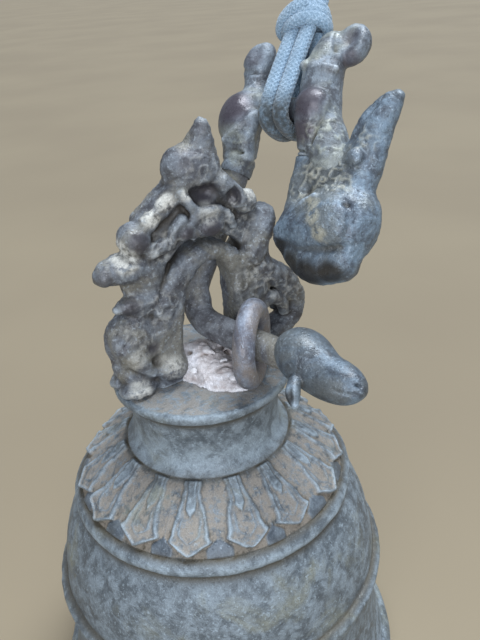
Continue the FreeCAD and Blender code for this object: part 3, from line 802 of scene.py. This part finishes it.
def make_bell():
    """The turned bell with its lotus band, rings, disc and worn surface."""
    rows = profile_points()
    angle = np.arange(COLUMNS) * 2 * math.pi / COLUMNS
    relief, tan, dark = bell_relief(rows, angle)
    tangent = np.gradient(rows[:, :2], axis=0)
    normal = np.stack([tangent[:, 1], -tangent[:, 0]], 1)
    normal /= np.maximum(np.linalg.norm(normal, axis=1), 1e-9)[:, None]
    radius = np.repeat(rows[:, 0:1], COLUMNS, 1)
    level = np.repeat(rows[:, 1:2], COLUMNS, 1)
    zone = np.repeat(rows[:, 2:3], COLUMNS, 1)
    base = np.stack([radius * np.cos(angle), radius * np.sin(angle), level], -1).reshape(-1, 3)
    dents = 0.22 * rough_noise(base, 16.0, 3) + 0.10 * rough_noise(base + 31, 3.0, 3)
    dents = dents.reshape(relief.shape) * np.where(zone == HIDDEN, 0.3, 1.0)
    dents = dents * np.where(zone == TOP, 0.5, 1.0)
    edge = np.where((rows[:, 2] != PLAIN) | (rows[:, 1] > 1.0), 1.0, 0.0)[:, None]
    dents = np.minimum(dents * edge, np.where(level < 9.5, 0.0, 1.0))
    lift = relief + dents
    worn = smooth_step(lift - blur_rings(lift, 4), 0.05, 0.45)
    sunk = smooth_step(blur_rings(lift, 5) - lift, 0.06, 0.5)
    groove = np.zeros(len(rows))
    for low, high in SEAMS:
        away = (rows[:, 1] - (low + high) / 2) / (high - low)
        groove = np.maximum(groove, np.exp(-(away ** 2) * 2.0))
    groove = groove[:, None] * (zone != HIDDEN) * (zone != TOP)
    worn = np.maximum(worn, 0.75 * np.exp(-((level - 87.0) / 1.2) ** 2) * (zone == RINGS))
    worn = np.maximum(worn, 0.6 * np.exp(-((level - 126.3) / 0.8) ** 2) * (zone == RIM))
    points = base + np.stack([
        (lift * normal[:, 0:1]) * np.cos(angle), (lift * normal[:, 0:1]) * np.sin(angle),
        lift * normal[:, 1:2]], -1).reshape(-1, 3)
    crust_and_highlight = np.maximum(tan * 0.8, (zone == TOP) * 0.7)
    # Painted highlight: a pale band round the lower neck, laid in with the worn edges.
    pale = (zone == NECK) * smooth_step(level, 103.0, 104.6) * smooth_step(-level, -117.0, -109.0)
    worn = np.maximum(worn, pale)
    worn = np.maximum(worn, (zone == TOP) * 0.55)
    masks = {
        # Painted shade in sunk places and in the grooves beside the rings.
        "hollow": np.clip(sunk + 0.9 * groove, 0.0, 1.0).ravel(),
        "ridge": worn.ravel() * 0.75,
        "crust_and_highlight": crust_and_highlight.ravel(),
        # Dark tips between the petals, and painted shade on the bell's inside and hidden faces.
        "dark": np.maximum(dark * 0.6, (zone == HIDDEN) * 0.5).ravel(),
    }
    quads = grid_quads(len(rows), COLUMNS, closed_rows=True)
    bell = make_mesh("bell_casting", points, quads, masks, BELL_BRONZE)
    settle(bell, "bell_shell", "bell")


make_bell()


# ---- crown arch and lump
LUMP_BUMPS = 34           # small bumps and pits on the filler metal


def make_arch():
    """Openwork arch of two scaly creatures with a horned mask and a spike on top."""
    clay = Clay((-34, -10, DISC_Z - 1), (41, 10, DISC_Z + 75), 0.42)

    def raised(stations):
        """Stations whose heights are given from the disc's top."""
        return [(*station[:-2], station[-2] + DISC_Z, station[-1]) for station in stations]

    def slab(stations, half, rounding, soft=1.6):
        clay.slab(raised(stations), half, rounding, soft)

    def limb(stations, soft=1.2, cut=False):
        clay.limb(raised(stations), soft, cut)

    def egg(centre, radii, soft=1.2, cut=False, tilt=0.0):
        clay.egg((*centre[:2], centre[2] + DISC_Z), radii, soft, cut, tilt, (0, 2))

    def limbs(stations, soft=1.2, cut=False):
        """The same limb on the front face and on the back face."""
        limb(stations, soft, cut)
        limb([(x, -y, z, r) for x, y, z, r in stations], soft, cut)

    def eggs(centre, radii, soft=1.2, cut=False):
        """The same egg on both faces."""
        egg(centre, radii, soft, cut)
        egg((centre[0], -centre[1], centre[2]), radii, soft, cut)

    slab([(-16.5, 33, 5), (-11.5, 40, 5), (-5, 46, 5.6), (2, 51, 6.4)], 3.4, 2.8)
    slab([(2, 51, 6.4), (9, 50.5, 6.4), (15, 45.5, 6.4), (20, 38.5, 5.4), (20.5, 30, 5.4)], 3.4, 2.8)
    slab([(-20, 15, 6.2), (-16.5, 22, 5.8), (-14.6, 30, 4.6)], 3.8, 3)
    slab([(-19, 8, 6), (-14, 8, 4.6)], 3.6, 2.8)
    slab([(19, 28, 6), (19, 18, 5.6)], 3.6, 2.8)
    slab([(-11.6, -1, 5.2), (-11.4, 12, 4.8), (-10.2, 22, 4.8), (-6.2, 31.6, 3.9), (-1.2, 36.2, 3),
          (4.4, 37.6, 2.5), (9.4, 36, 2.5), (12.8, 31.6, 3), (14.8, 25, 3.9), (15.4, 12, 4.1),
          (16.4, -1, 4.8)], 5.4, 2.4)
    slab([(-12.6, 49.6, 2.5), (-8.6, 52.2, 2.4), (-3, 56.4, 2.6)], 4.6, 1.8, 1.2)
    egg((3, 0, 60.2), (8.8, 6.6, 6.8), 1.8, False, -22)
    limb([(5.4, 0, 62, 5.2), (6.4, 0, 67.4, 3.9), (7.4, 0, 71, 2.5)], 2)
    eggs((4.4, -6.6, 54.6), (4.9, 4.4, 2.8), 1.3, True)
    limbs([(-3.2, -5, 56.4, 1.4), (-1.2, -5.4, 53.2, 1.6), (0.8, -5.2, 50.6, 1.4)], 1.8)
    limbs([(9.8, -4.4, 57, 2.4), (13, -4.6, 52.8, 2.6), (15.8, -4.2, 48.6, 2.2)], 1.6)
    eggs((17.6, -3.6, 49.6), (3, 3, 3.2), 1.6)
    eggs((12, -6.6, 52), (2.2, 3, 3.2), 1, True)
    eggs((18.2, -6.4, 44), (2.6, 3.6, 2.6), 1.2, True)
    eggs((13.6, -6.8, 44.6), (2, 2.8, 2), 1, True)
    limbs([(24.8, -1.6, 43, 2.9), (22, -3.2, 38.6, 3.5), (18, -3.8, 33.2, 3.7)], 1.8)
    eggs((4.2, -5, 45.2), (4.9, 2.6, 3), 0.7)
    eggs((-3.2, -4.8, 45.4), (1.9, 2.2, 3), 0.7)
    limbs([(-0.6, -5, 43, 1), (-1, -5.2, 47.4, 1.3), (3.6, -5.4, 50, 1.5), (9.2, -5, 48.6, 1.5),
           (12, -4.6, 44, 1.3)], 1.6)
    limbs([(-7, -4.4, 42.6, 1.1), (-6.2, -4.8, 47, 1.4), (-3.6, -5, 49.4, 1.2)], 1.6)
    limbs([(-14.6, -6.2, 31, 1.3), (-10, -6.4, 38, 1.7), (-4.6, -6.2, 41.8, 1.4), (3, -6.2, 41.8, 1.1),
           (11.4, -6.2, 38.8, 1.4)], 1.2, True)
    limbs([(-9.6, -6.8, 46.6, 1.3), (-6.2, -6.4, 51, 1.6)], 1.2, True)
    limbs([(-13, -4, 42.4, 1.9), (-9.6, -4.4, 43.2, 1.9)], 1.8)
    limb([(-14, 0, 36, 5), (-19, 0, 38, 4.6), (-24, 0, 38.4, 3.4)], 1.8)
    egg((-20.4, -1.4, 39), (6.2, 5, 3.6), 1.6, False, 8)
    egg((-26.4, -1.8, 38), (2.8, 3.4, 2.7), 1.2)
    limbs([(-24.4, -5.6, 39.6, 0.8), (-24.2, -5.8, 37, 0.8)], 0.9, True)
    eggs((-19.6, -6.8, 38.4), (2.6, 1.6, 1.4), 1, True)
    limbs([(-25, -4.6, 35.6, 0.8), (-20, -6.4, 34.4, 1), (-15.6, -6.2, 34, 1)], 0.9, True)
    egg((-16.6, -1.4, 46), (4.4, 5, 4.4), 1.2)
    limbs([(-20, -4, 42.4, 0.8), (-16, -6.2, 41, 0.9), (-12.2, -5.8, 43.8, 0.8)], 0.9, True)
    limb([(-14.6, -1.6, 28, 3.8), (-19.6, -2.2, 28.4, 3.1), (-24.6, -2.6, 28, 1.3)], 1.3)
    limbs([(-24.6, -4.8, 32, 1.2), (-18.4, -6.2, 31.8, 1.4), (-14.4, -6.4, 30.4, 1)], 1.1, True)
    limbs([(-23.4, -5, 24.6, 0.9), (-18.2, -6.2, 24.2, 1.1)], 1.1, True)
    egg((-20.8, 0, 16.4), (7.9, 6.2, 9), 2, False, 12)
    limb([(-22.6, 0, 8.6, 5.2), (-20.4, 0, 3, 5)], 2.2)
    eggs((-17, -8.2, 14.6), (2.6, 3.4, 2.2), 1.4, True)
    limbs([(-26, -3.4, 17.6, 1.5), (-22.6, -4.9, 12.6, 2.2), (-18.6, -4.9, 7, 1.9)], 2.2)
    limbs([(-25.6, -4.6, 9.6, 0.9), (-21.8, -6, 7, 1), (-18.8, -6.4, 4.4, 0.9)], 1.2, True)
    eggs((-11.8, -4.2, 6.2), (4.9, 3.9, 4.5), 1.6)
    limbs([(-16.4, -6.4, 9.4, 0.8), (-13.6, -7.8, 11.6, 0.9), (-9.6, -7.4, 11.8, 0.8)], 1.1, True)
    eggs((-22.6, -3.4, 2.2), (6, 4, 2.7), 1)
    limbs([(-25.6, -5.8, 4.9, 0.7), (-18.6, -6.6, 4.4, 0.7)], 0.8, True)
    limbs([(-13.4, -5, 24.4, 1.1), (-11.6, -5.4, 26.8, 1.2), (-9.8, -5.2, 25.2, 1.1),
           (-11.2, -5.4, 23.6, 0.9)], 1.4)
    eggs((-14.6, -6.8, 20.6), (1.4, 1.6, 3.4), 1.4, True)
    egg((18.4, 0, 22), (5.6, 6.4, 8), 2)
    eggs((17, -3.4, 5.6), (5.4, 3.8, 4.8), 1.8)
    limbs([(21.4, -2, 27.4, 3.6), (27.2, -2.4, 23.6, 3.9), (32, -2, 18.6, 3.8), (34.6, -1.4, 12.6, 3.4),
           (33, -1.2, 6.6, 3.4), (27, -1.2, 3.4, 3.4)], 1.4)
    limbs([(25.4, -6.6, 26.4, 0.9), (29.6, -6.4, 22.4, 1), (33.4, -5.8, 17.2, 0.9),
           (35.4, -4.8, 12.4, 0.8)], 1.1, True)
    eggs((27.6, -5, 9.6), (2.6, 4.4, 2.4), 1, True)
    limbs([(20.8, -4.2, 16, 1.8), (24.4, -4.2, 17.2, 2), (28.2, -3.6, 14.4, 2.1), (29.6, -3, 10.4, 1.8)], 1.6)
    clay.trim(2, DISC_Z, True)
    # Crust spots are pale encrustation and painted highlights on the creatures' snouts and bright spots; dark
    # spots are dark polished patina on the balls and lobes, and painted shade in the mask's mouth and in pits.
    paint = {"crust_and_highlight": [(-20.6, -5, 168.6, 4.4, 1), (-21, -2, 171, 4.4, 1), (-7.4, -4, 181.6, 3.4, 1),
                       (-12, -4, 178.4, 3.4, 1), (-2, -6, 183, 2.4, 0.9), (17.6, -5.2, 179, 3.4, 0.7),
                       (4, -6.4, 177, 4.6, 0.6), (-12, -6, 133.6, 4.6, 0.6), (-23, -6, 129.6, 4.6, 0.8),
                       (-22.4, -6, 140, 4, 0.4)],
             "curls": [(-14, -6, 152, 9, 0.4), (18, -6, 152, 10, 0.55), (-20, -6, 146, 8, 0.35),
                       (28, -5, 144, 10, 0.5), (-9, -5, 169, 7, 0.45), (14, -5, 172, 9, 0.5),
                       (4, -5, 188, 8, 0.3)],
             "dark": [(-16.6, -5.6, 173.4, 4, 0.9), (-26.6, -3, 165, 3.4, 1), (4.2, -7.4, 172.2, 4.2, 1),
                      (-3.2, -6.8, 172.4, 2.6, 1), (12.4, -6.4, 179.4, 4, 0.8), (4.6, -4.6, 181.6, 5, 1),
                      (1, -4, 190, 6, 0.5), (6.6, -1, 197.4, 3.6, 0.6), (-21, -4.6, 155.4, 4, 0.7),
                      (-17, -6, 141.6, 3, 0.9), (-9.4, -6.4, 174, 2.6, 0.8)]}
    arch = clay.piece("crown_arch_casting", ARCH_BRONZE, 0.5, 4.4, paint)
    settle(arch, "crown_arch", "bell")


def make_lump():
    """Lump of pale filler metal over the clapper's shank."""
    clay = Clay((-14, -24, DISC_Z - 1), (16, 14, DISC_Z + 11), 0.36)
    clay.egg((-0.5, -1, DISC_Z), (9, 9.5, 7.8), 1.2)
    clay.egg((2, -9.5, DISC_Z - 0.6), (8.8, 8.4, 5.6), 2.2)
    clay.egg((5, -14.6, DISC_Z - 0.8), (7, 6.8, 3.2), 2)
    clay.egg((-4, 4, DISC_Z - 0.8), (6, 5.6, 4.4), 1.8)
    cracks = [[(-6.6, -8, 3.4), (-2.6, -11.6, 4), (1.2, -11.4, 4.6), (4.6, -14.4, 3)],
              [(-4.4, -4.6, 6.4), (-0.6, -5.6, 6.9), (3.4, -4.2, 6.4)],
              [(5.6, -16.4, 2.2), (8.4, -13, 2.8), (9.4, -9.6, 3)]]
    for crack in cracks:
        clay.limb([(x, y, DISC_Z + z, 0.5) for x, y, z in crack], 0.7, True)
    for _ in range(LUMP_BUMPS):
        x, y = RNG.uniform(-8.0, 10.0), RNG.uniform(-19.0, 4.0)
        high = 7.6 * math.sqrt(max(0.0, 1.0 - (x / 10.5) ** 2 - ((y + 5.0) / 16.0) ** 2))
        clay.egg((x, y, DISC_Z + high), (1.3, 1.3, 0.7), 0.9, RNG.random() < 0.5)
    clay.trim(2, DISC_Z, True)
    lump = clay.piece("filler_lump", FILLER, 0.8, 3.6)
    settle(lump, "crown_plug", "bell")


make_arch()
make_lump()


# ---- hook
def hook_piece(clay, name, node, material, worn, grain, paint):
    """Finish one casting of the hook, whose clay is in the hook's own frame."""
    piece = clay.piece(name, material, worn, grain, paint, HOOK_AXES, HOOK_ORIGIN)
    settle(piece, node, "hook")


def make_shank():
    """Faceted bar through the arch and keeper ring, bent up behind the arch."""
    clay = Clay((-16, -9, -7), (39, 47.5, 7), 0.4)
    limb, egg = clay.limb, clay.egg
    path = [(36, -2.2, 0, 4.1), (20, -2.2, 0, 4.2), (8, -2.2, 0, 4.2), (1, -1.6, 0, 4.2), (-4.6, 1.2, 0, 4.2),
            (-7.8, 6, 0, 4.2), (-8.5, 12, 0, 4.2), (-8.5, 28, 0, 4.2), (-8.5, 44, 0, 4.3)]
    limb(path, 0.8)
    egg((-4.4, 3.4, 0), (2.6, 3.4, 2.8), 2.4)
    limb([(-2, 2.5, -4.2, 1.2), (36, 2.5, -4.2, 1.2)], 1, True)
    limb([(-2, 2.5, 4.2, 1.2), (36, 2.5, 4.2, 1.2)], 1, True)
    for h in (30.0, 36.0):
        clay.hoop((-8.5, h, 0), (0, 1, 0), 4.5, 0.5, 0.4, True)
    clay.trim(1, 45, False)
    paint = {"crust_and_highlight": [(-8.5, 38, -4, 8, 0.8), (-8.5, 28, -4, 6, 0.5)]}
    hook_piece(clay, "hook_bar", "hook_shank", BAR_BRONZE, 0.16, 5.0, paint)


def make_small_head():
    """Small smooth animal head on the bar's end, with one leaf-shaped ear."""
    clay = Clay((27, -16, -12), (61, 11, 11), 0.36)
    limb, egg = clay.limb, clay.egg
    egg((38.2, -0.6, 0), (9, 7.4, 7.4), 2, False, -10)
    egg((36, 0.6, 0), (6.6, 6, 6.6), 2)
    egg((48.4, -2.4, 0), (9.6, 5.3, 5.2), 3, False, -5)
    egg((46.4, -5.2, 0), (8.8, 3.8, 4.6), 2.4)
    limb([(40.6, -7, -5.2, 1.8), (42.2, -9.8, -6.6, 2), (44.2, -12.2, -7, 1.1)], 0.8)
    limb([(41.8, -8.6, -8.4, 0.5), (43.6, -11.4, -8.6, 0.3)], 0.6, True)
    for side in (-1.0, 1.0):
        egg((57, -2, side * 2.4), (1.5, 0.5, 1.1), 0.5, True)
        limb([(57.6, -4, side * 2.2, 0.4), (54.4, -5, side * 4, 0.4), (51.4, -5.2, side * 5, 0.3)], 0.6, True)
    # Dark spots: the whole head a little darker, and painted shade under the jaw, in the ear's groove and in
    # the nostrils.
    paint = {"dark": [(46, 0, -3, 16, 0.42), (48, -8.6, 0, 6, 0.8), (42.4, -11, -7, 3, 1),
                      (58, -2, 0, 2.6, 0.6)]}
    hook_piece(clay, "small_head_casting", "small_head", HEAD_BRONZE, 0.14, 6.0, paint)


def make_big_head():
    """Front shaft with the large snouted head, its cheek band and its horn."""
    clay = Clay((10, 14, -12), (48, 75, 12), 0.4)
    limb, egg = clay.limb, clay.egg
    egg((33, 36.5, 0), (10.6, 11, 9.4), 2.4, False, 20)
    egg((27, 32, 0), (10.8, 7.4, 8), 3, False, -8)
    egg((39, 36, 0), (5.4, 9.6, 7.4), 2.4, False, -6)
    limb([(19.6, 28, 0, 3.2), (25, 25.6, 0, 4.6), (31.4, 24.6, 0, 6), (37.4, 26.4, 0, 5.8)], 2.4)
    egg((19.4, 30.2, -0.6), (4.4, 4.8, 5), 1.8)
    shaft = Clay((10, 14, -12), (48, 75, 12), 0.4)
    shaft.limb([(17, 54, 0, 4.1), (18.4, 44, 0, 4.3), (21, 36, 0, 5.2)], 1)
    shaft.trim(1, 51.6, False)
    clay.blend(np.s_[:, :, :], shaft.field, 1.6, False)
    for side in (-1.0, 1.0):
        egg((16.8, 31.4, side * 4.2), (0.9, 1, 1), 0.8, True)
        limb([(17.6, 26.6, side * 3.4, 0.6), (21, 26.4, side * 4.8, 1), (27, 26, side * 6.4, 1.2),
              (34, 27, side * 7, 1.2), (41, 29.6, side * 5.6, 1)], 1, True)
        limb([(21.4, 34, side * 5.2, 0.6), (24.6, 37.4, side * 7.4, 0.7), (28.4, 40.6, side * 8.4, 0.6)], 1.3)
        egg((38.4, 39.8, side * 8), (1.3, 1, 1.6), 1, True)
        egg((35, 35, side * 6.8), (5.4, 5, 3.2), 2)
        limb([(38.2, 47, side * 7, 0.8), (40.2, 41, side * 8, 0.9), (41.4, 35, side * 7.6, 0.9),
              (41.2, 29, side * 6.4, 0.8)], 0.9, True)
    egg((24.6, 49.6, 1), (7.4, 9, 6.4), 2, False, -20)
    horn = [(33.6, 45, 0, 6.8), (34, 56.4, -0.2, 5.8), (34.2, 61.6, -0.6, 5.5), (35.2, 65.8, -1.2, 4.7),
            (37, 69.2, -1.8, 3.3), (38.3, 71.2, -2.2, 2.1)]
    limb(horn, 1.8, flat=1.25)
    limb([(30.8, 54, -4.6, 0.4), (31.8, 61, -4.6, 0.5), (35, 67.4, -4.4, 0.4)], 1.2, True)
    for side in (-1.0, 1.0):
        egg((34.4, 53, side * 4.8 - 0.4), (2.6, 2.6, 1.9), 1)
    # The dark spots low on the head are painted shade under its jaw; the one at the horn's tip is its dark
    # patina.
    paint = {"crust_and_highlight": [(29, 38, -8.4, 3.4, 0.8), (31.2, 34.6, -9.2, 3.2, 0.8), (34.2, 31, -9, 3.2, 0.8),
                       (36.6, 28.2, -8.4, 2.6, 0.7)],
             "curls": [(25.6, 48.6, -6, 9.5, 1), (20.6, 43, -6, 6, 0.7), (33, 46, -8, 6, 0.8),
                       (34, 58, -5, 6, 0.6)],
             "dark": [(39.6, 71.6, -3, 3, 0.5), (32, 18.4, -5, 7.8, 1), (25, 21, -4, 5.8, 1),
                      (19.6, 25.2, -3, 4, 1), (39, 21, -5, 6.4, 1)]}
    hook_piece(clay, "big_head_casting", "big_head", HEAD_BRONZE, 0.30, 4.0, paint)


def make_figure():
    """Upper casting of the hook: knees, top bar, back, two open paws and the strip behind the cord."""
    clay = Clay((-25, 43.6, -11), (31, 96.5, 19), 0.42)
    limb, egg = clay.limb, clay.egg
    limb([(-8.5, 45, 0, 4.9), (-9.2, 49, 0, 5.3), (-11, 54.6, 0, 5.8)], 1.2)
    egg((-13.2, 60.4, -0.6), (7.2, 9, 6.8), 1.2, False, 14)
    limb([(-6.4, 60.4, -5, 0.6), (-9.2, 56, -6.2, 0.7), (-12.4, 52, -5.8, 0.6)], 1.6)
    limb([(-6.6, 61, -2.6, 2.4), (-6.8, 54, -2.6, 2.6), (-5.6, 49, -1.2, 2.6)], 1.6)
    clay.hoop((-10.4, 49.2, 0), (-0.1, 1, 0), 6, 0.6, 0.9, True)
    clay.hoop((-8.2, 46.6, 0), (-0.05, 1, 0), 5.8, 0.6, 0.9, True)
    limb([(-12, 66, 0, 4.4), (-6, 66, 0, 3.5), (0, 66, 0, 3.4), (6, 66, 0, 3.4), (11.5, 66.6, 0, 4.4)], 1.2)
    limb([(-13.4, 67, 2, 4.8), (-14.4, 72, 3, 4.4), (-15.8, 77, 2.8, 4.6)], 1.8)
    egg((-16.6, 80.6, 2.4), (5.2, 6.6, 4.6), 1.2, False, -12)
    egg((-15.6, 82.4, -3.2), (2.4, 3, 1.8), 1.8, True)
    limb([(-20.6, 77.6, 0.6, 0.4), (-17.4, 75.4, -1.6, 0.5), (-13, 75.8, -0.8, 0.4)], 1.2, True)
    limb([(11.6, 84.8, 0, 4.8), (11.6, 81, -0.6, 5.3), (12.3, 75, -1, 6), (13.7, 69, -0.8, 6.2),
          (15.7, 63.6, -0.5, 6.3), (20, 57.8, -0.5, 6.5), (25, 52, -0.5, 5.8)], 1.6)
    egg((16.4, 86.4, 1.2), (5.4, 6.2, 4.2), 1, False, -14)
    egg((17.6, 87.2, -3.6), (2.8, 3.8, 2.4), 1.6, True)
    limb([(13.6, 91, -1.6, 0.5), (13.6, 87, -3.6, 0.6), (15.2, 82.6, -3.6, 0.6)], 1.4, True)
    limb([(20.4, 69.6, -5.4, 0.7), (21.4, 65, -6.4, 0.9), (20.4, 60, -6.6, 0.9),
          (20, 55, -5.8, 0.7)], 1.5, True)
    limb([(7.4, 77, -5.6, 0.8), (12.8, 76.2, -7, 0.8), (18, 76.8, -4.6, 0.8)], 2.6)
    limb([(9, 84, -5, 0.4), (9.6, 78, -6.8, 0.4), (9, 72, -7, 0.4)], 1.6, True)
    limb([(-14.4, 75, 6, 3.4), (-6, 75, 12, 3.4), (1, 75.4, 13.2, 3.4), (7, 77, 8.6, 3.4)], 1.6)
    limb([(15.6, 65.3, -4.8, 5.4), (15.8, 61.2, -4.2, 4.5), (16.3, 57, -3, 3.4), (16.9, 52.6, -1.4, 3.1)], 0.5)
    limb([(10, 66, 0, 4), (14, 65, -1, 4.4)], 1.2)
    clay.hoop((16.8, 53, -0.8), (0, 1, 0), 3.4, 0.4, 0.6, True)
    part, (along, high, deep) = clay.window(np.array([8, 43.6, -11]), np.array([26, 56, 8]))
    room = np.maximum(np.sqrt((along - 17.0) ** 2 + deep ** 2) - 5.0, high - 51.7)
    clay.blend(part, room, 0.2, True)
    # Dark spots on the knees are dark patina; those on the top bar where the cord wraps it, in the paws' cups
    # and under the right paw are painted shade.
    paint = {"crust_and_highlight": [(10, 78, -6, 4, 0.35), (-6.4, 48, -4, 4, 0.4), (9.4, 80, -2, 3.6, 0.5)],
             "curls": [(23, 56.6, -4, 9, 0.8), (20.4, 64.4, -3, 5, 0.5), (-8.4, 51, -5, 5.4, 0.6)],
             "dark": [(-13.4, 62, -5, 8.6, 1), (-18, 60, 0, 8, 1), (15.2, 65.4, -9, 7.4, 1),
                      (16, 58, -6, 5, 1), (2, 64, 0, 7, 0.9), (-16.4, 80.4, -2, 5, 0.5),
                      (17.4, 87.4, -2.6, 3.6, 0.6), (18.4, 82, 0, 3.6, 0.8)]}
    hook_piece(clay, "hook_figure_casting", "hook_figure", FIGURE_BRONZE, 0.26, 4.4, paint)


make_shank()
make_small_head()
make_big_head()
make_figure()


# ---- keeper ring and clapper
RING_CENTRE = ALONG * 20.0 + SIDE * 2.3 + UPRIGHT * (DISC_Z + 13.45)
RING_YAW = math.radians(-46.0)
RING_RADIUS = 9.9         # to the middle of its section
RING_THICK = 3.15         # radius of the section


def make_ring():
    """Plain keeper ring round the hook's bar."""
    clay = Clay(RING_CENTRE - 17, RING_CENTRE + 17, 0.4)
    clay.hoop(RING_CENTRE, (math.cos(RING_YAW), math.sin(RING_YAW), 0), RING_RADIUS, RING_THICK, 0.5)
    ring = clay.piece("keeper_ring_casting", RING_BRONZE, 0.1, 5)
    settle(ring, "keeper_ring", "ring")


def finish_clapper():
    """The clapper's own metal pieces keep their shapes and get real finishes."""
    for node in ("clapper_staple", "clapper_link", "clapper_rod", "clapper_ball"):
        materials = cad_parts[node].data.materials
        materials.clear()
        materials.append(CLAPPER_BRONZE if node == "clapper_ball" else IRON)


make_ring()
finish_clapper()


# ---- floor and light
FLOOR_HALF = 60.0         # half the floor's side, in metres


def make_floor():
    """Plain pale paper floor."""
    mesh = bpy.data.meshes.new("floor")
    corners = [(x * FLOOR_HALF, y * FLOOR_HALF, 0) for x, y in ((-1, -1), (1, -1), (1, 1), (-1, 1))]
    mesh.from_pydata(corners, [], [(0, 1, 2, 3)])
    p = Paint("pale_paper")
    tone = p.mix(p.ramp(p.noise(3.0, 3.0, 0.5), 0.3, 0.7), *colours("7C715F 827764"))
    mesh.materials.append(p.finish(Base_Color=tone, Roughness=0.8))
    add_object("floor", mesh)


def make_lamp(name, kind, width, place, aim, power, tint):
    """Soft lamp aimed at a point; width is an area lamp's side or the angle of a sun."""
    data = bpy.data.lights.new(name, kind)
    setattr(data, "angle" if kind == "SUN" else "size", width)
    data.energy = power
    data.color = tint
    lamp = add_object(name, data)
    lamp.location = place
    lamp.rotation_euler = (Vector(aim) - Vector(place)).to_track_quat("-Z", "Y").to_euler()


def make_world():
    """Even pale surroundings."""
    world = bpy.data.worlds.new("studio")
    world.use_nodes = True
    background = world.node_tree.nodes["Background"].inputs
    background["Color"].default_value = (0.74, 0.80, 0.88, 1.0)
    background["Strength"].default_value = 0.40
    bpy.context.scene.world = world


make_floor()
make_lamp("key", "SUN", math.radians(38.0), (0.20, 0.04, 0.62), (0.0, 0.0, 0.0), 4.6, (0.90, 0.96, 1.0))
make_lamp("front", "AREA", 0.5, (-0.30, -0.45, 0.34), (0.0, 0.0, 0.14), 3.5, (0.90, 0.95, 1.0))
make_world()
bpy.context.scene.view_settings.view_transform = "Standard"
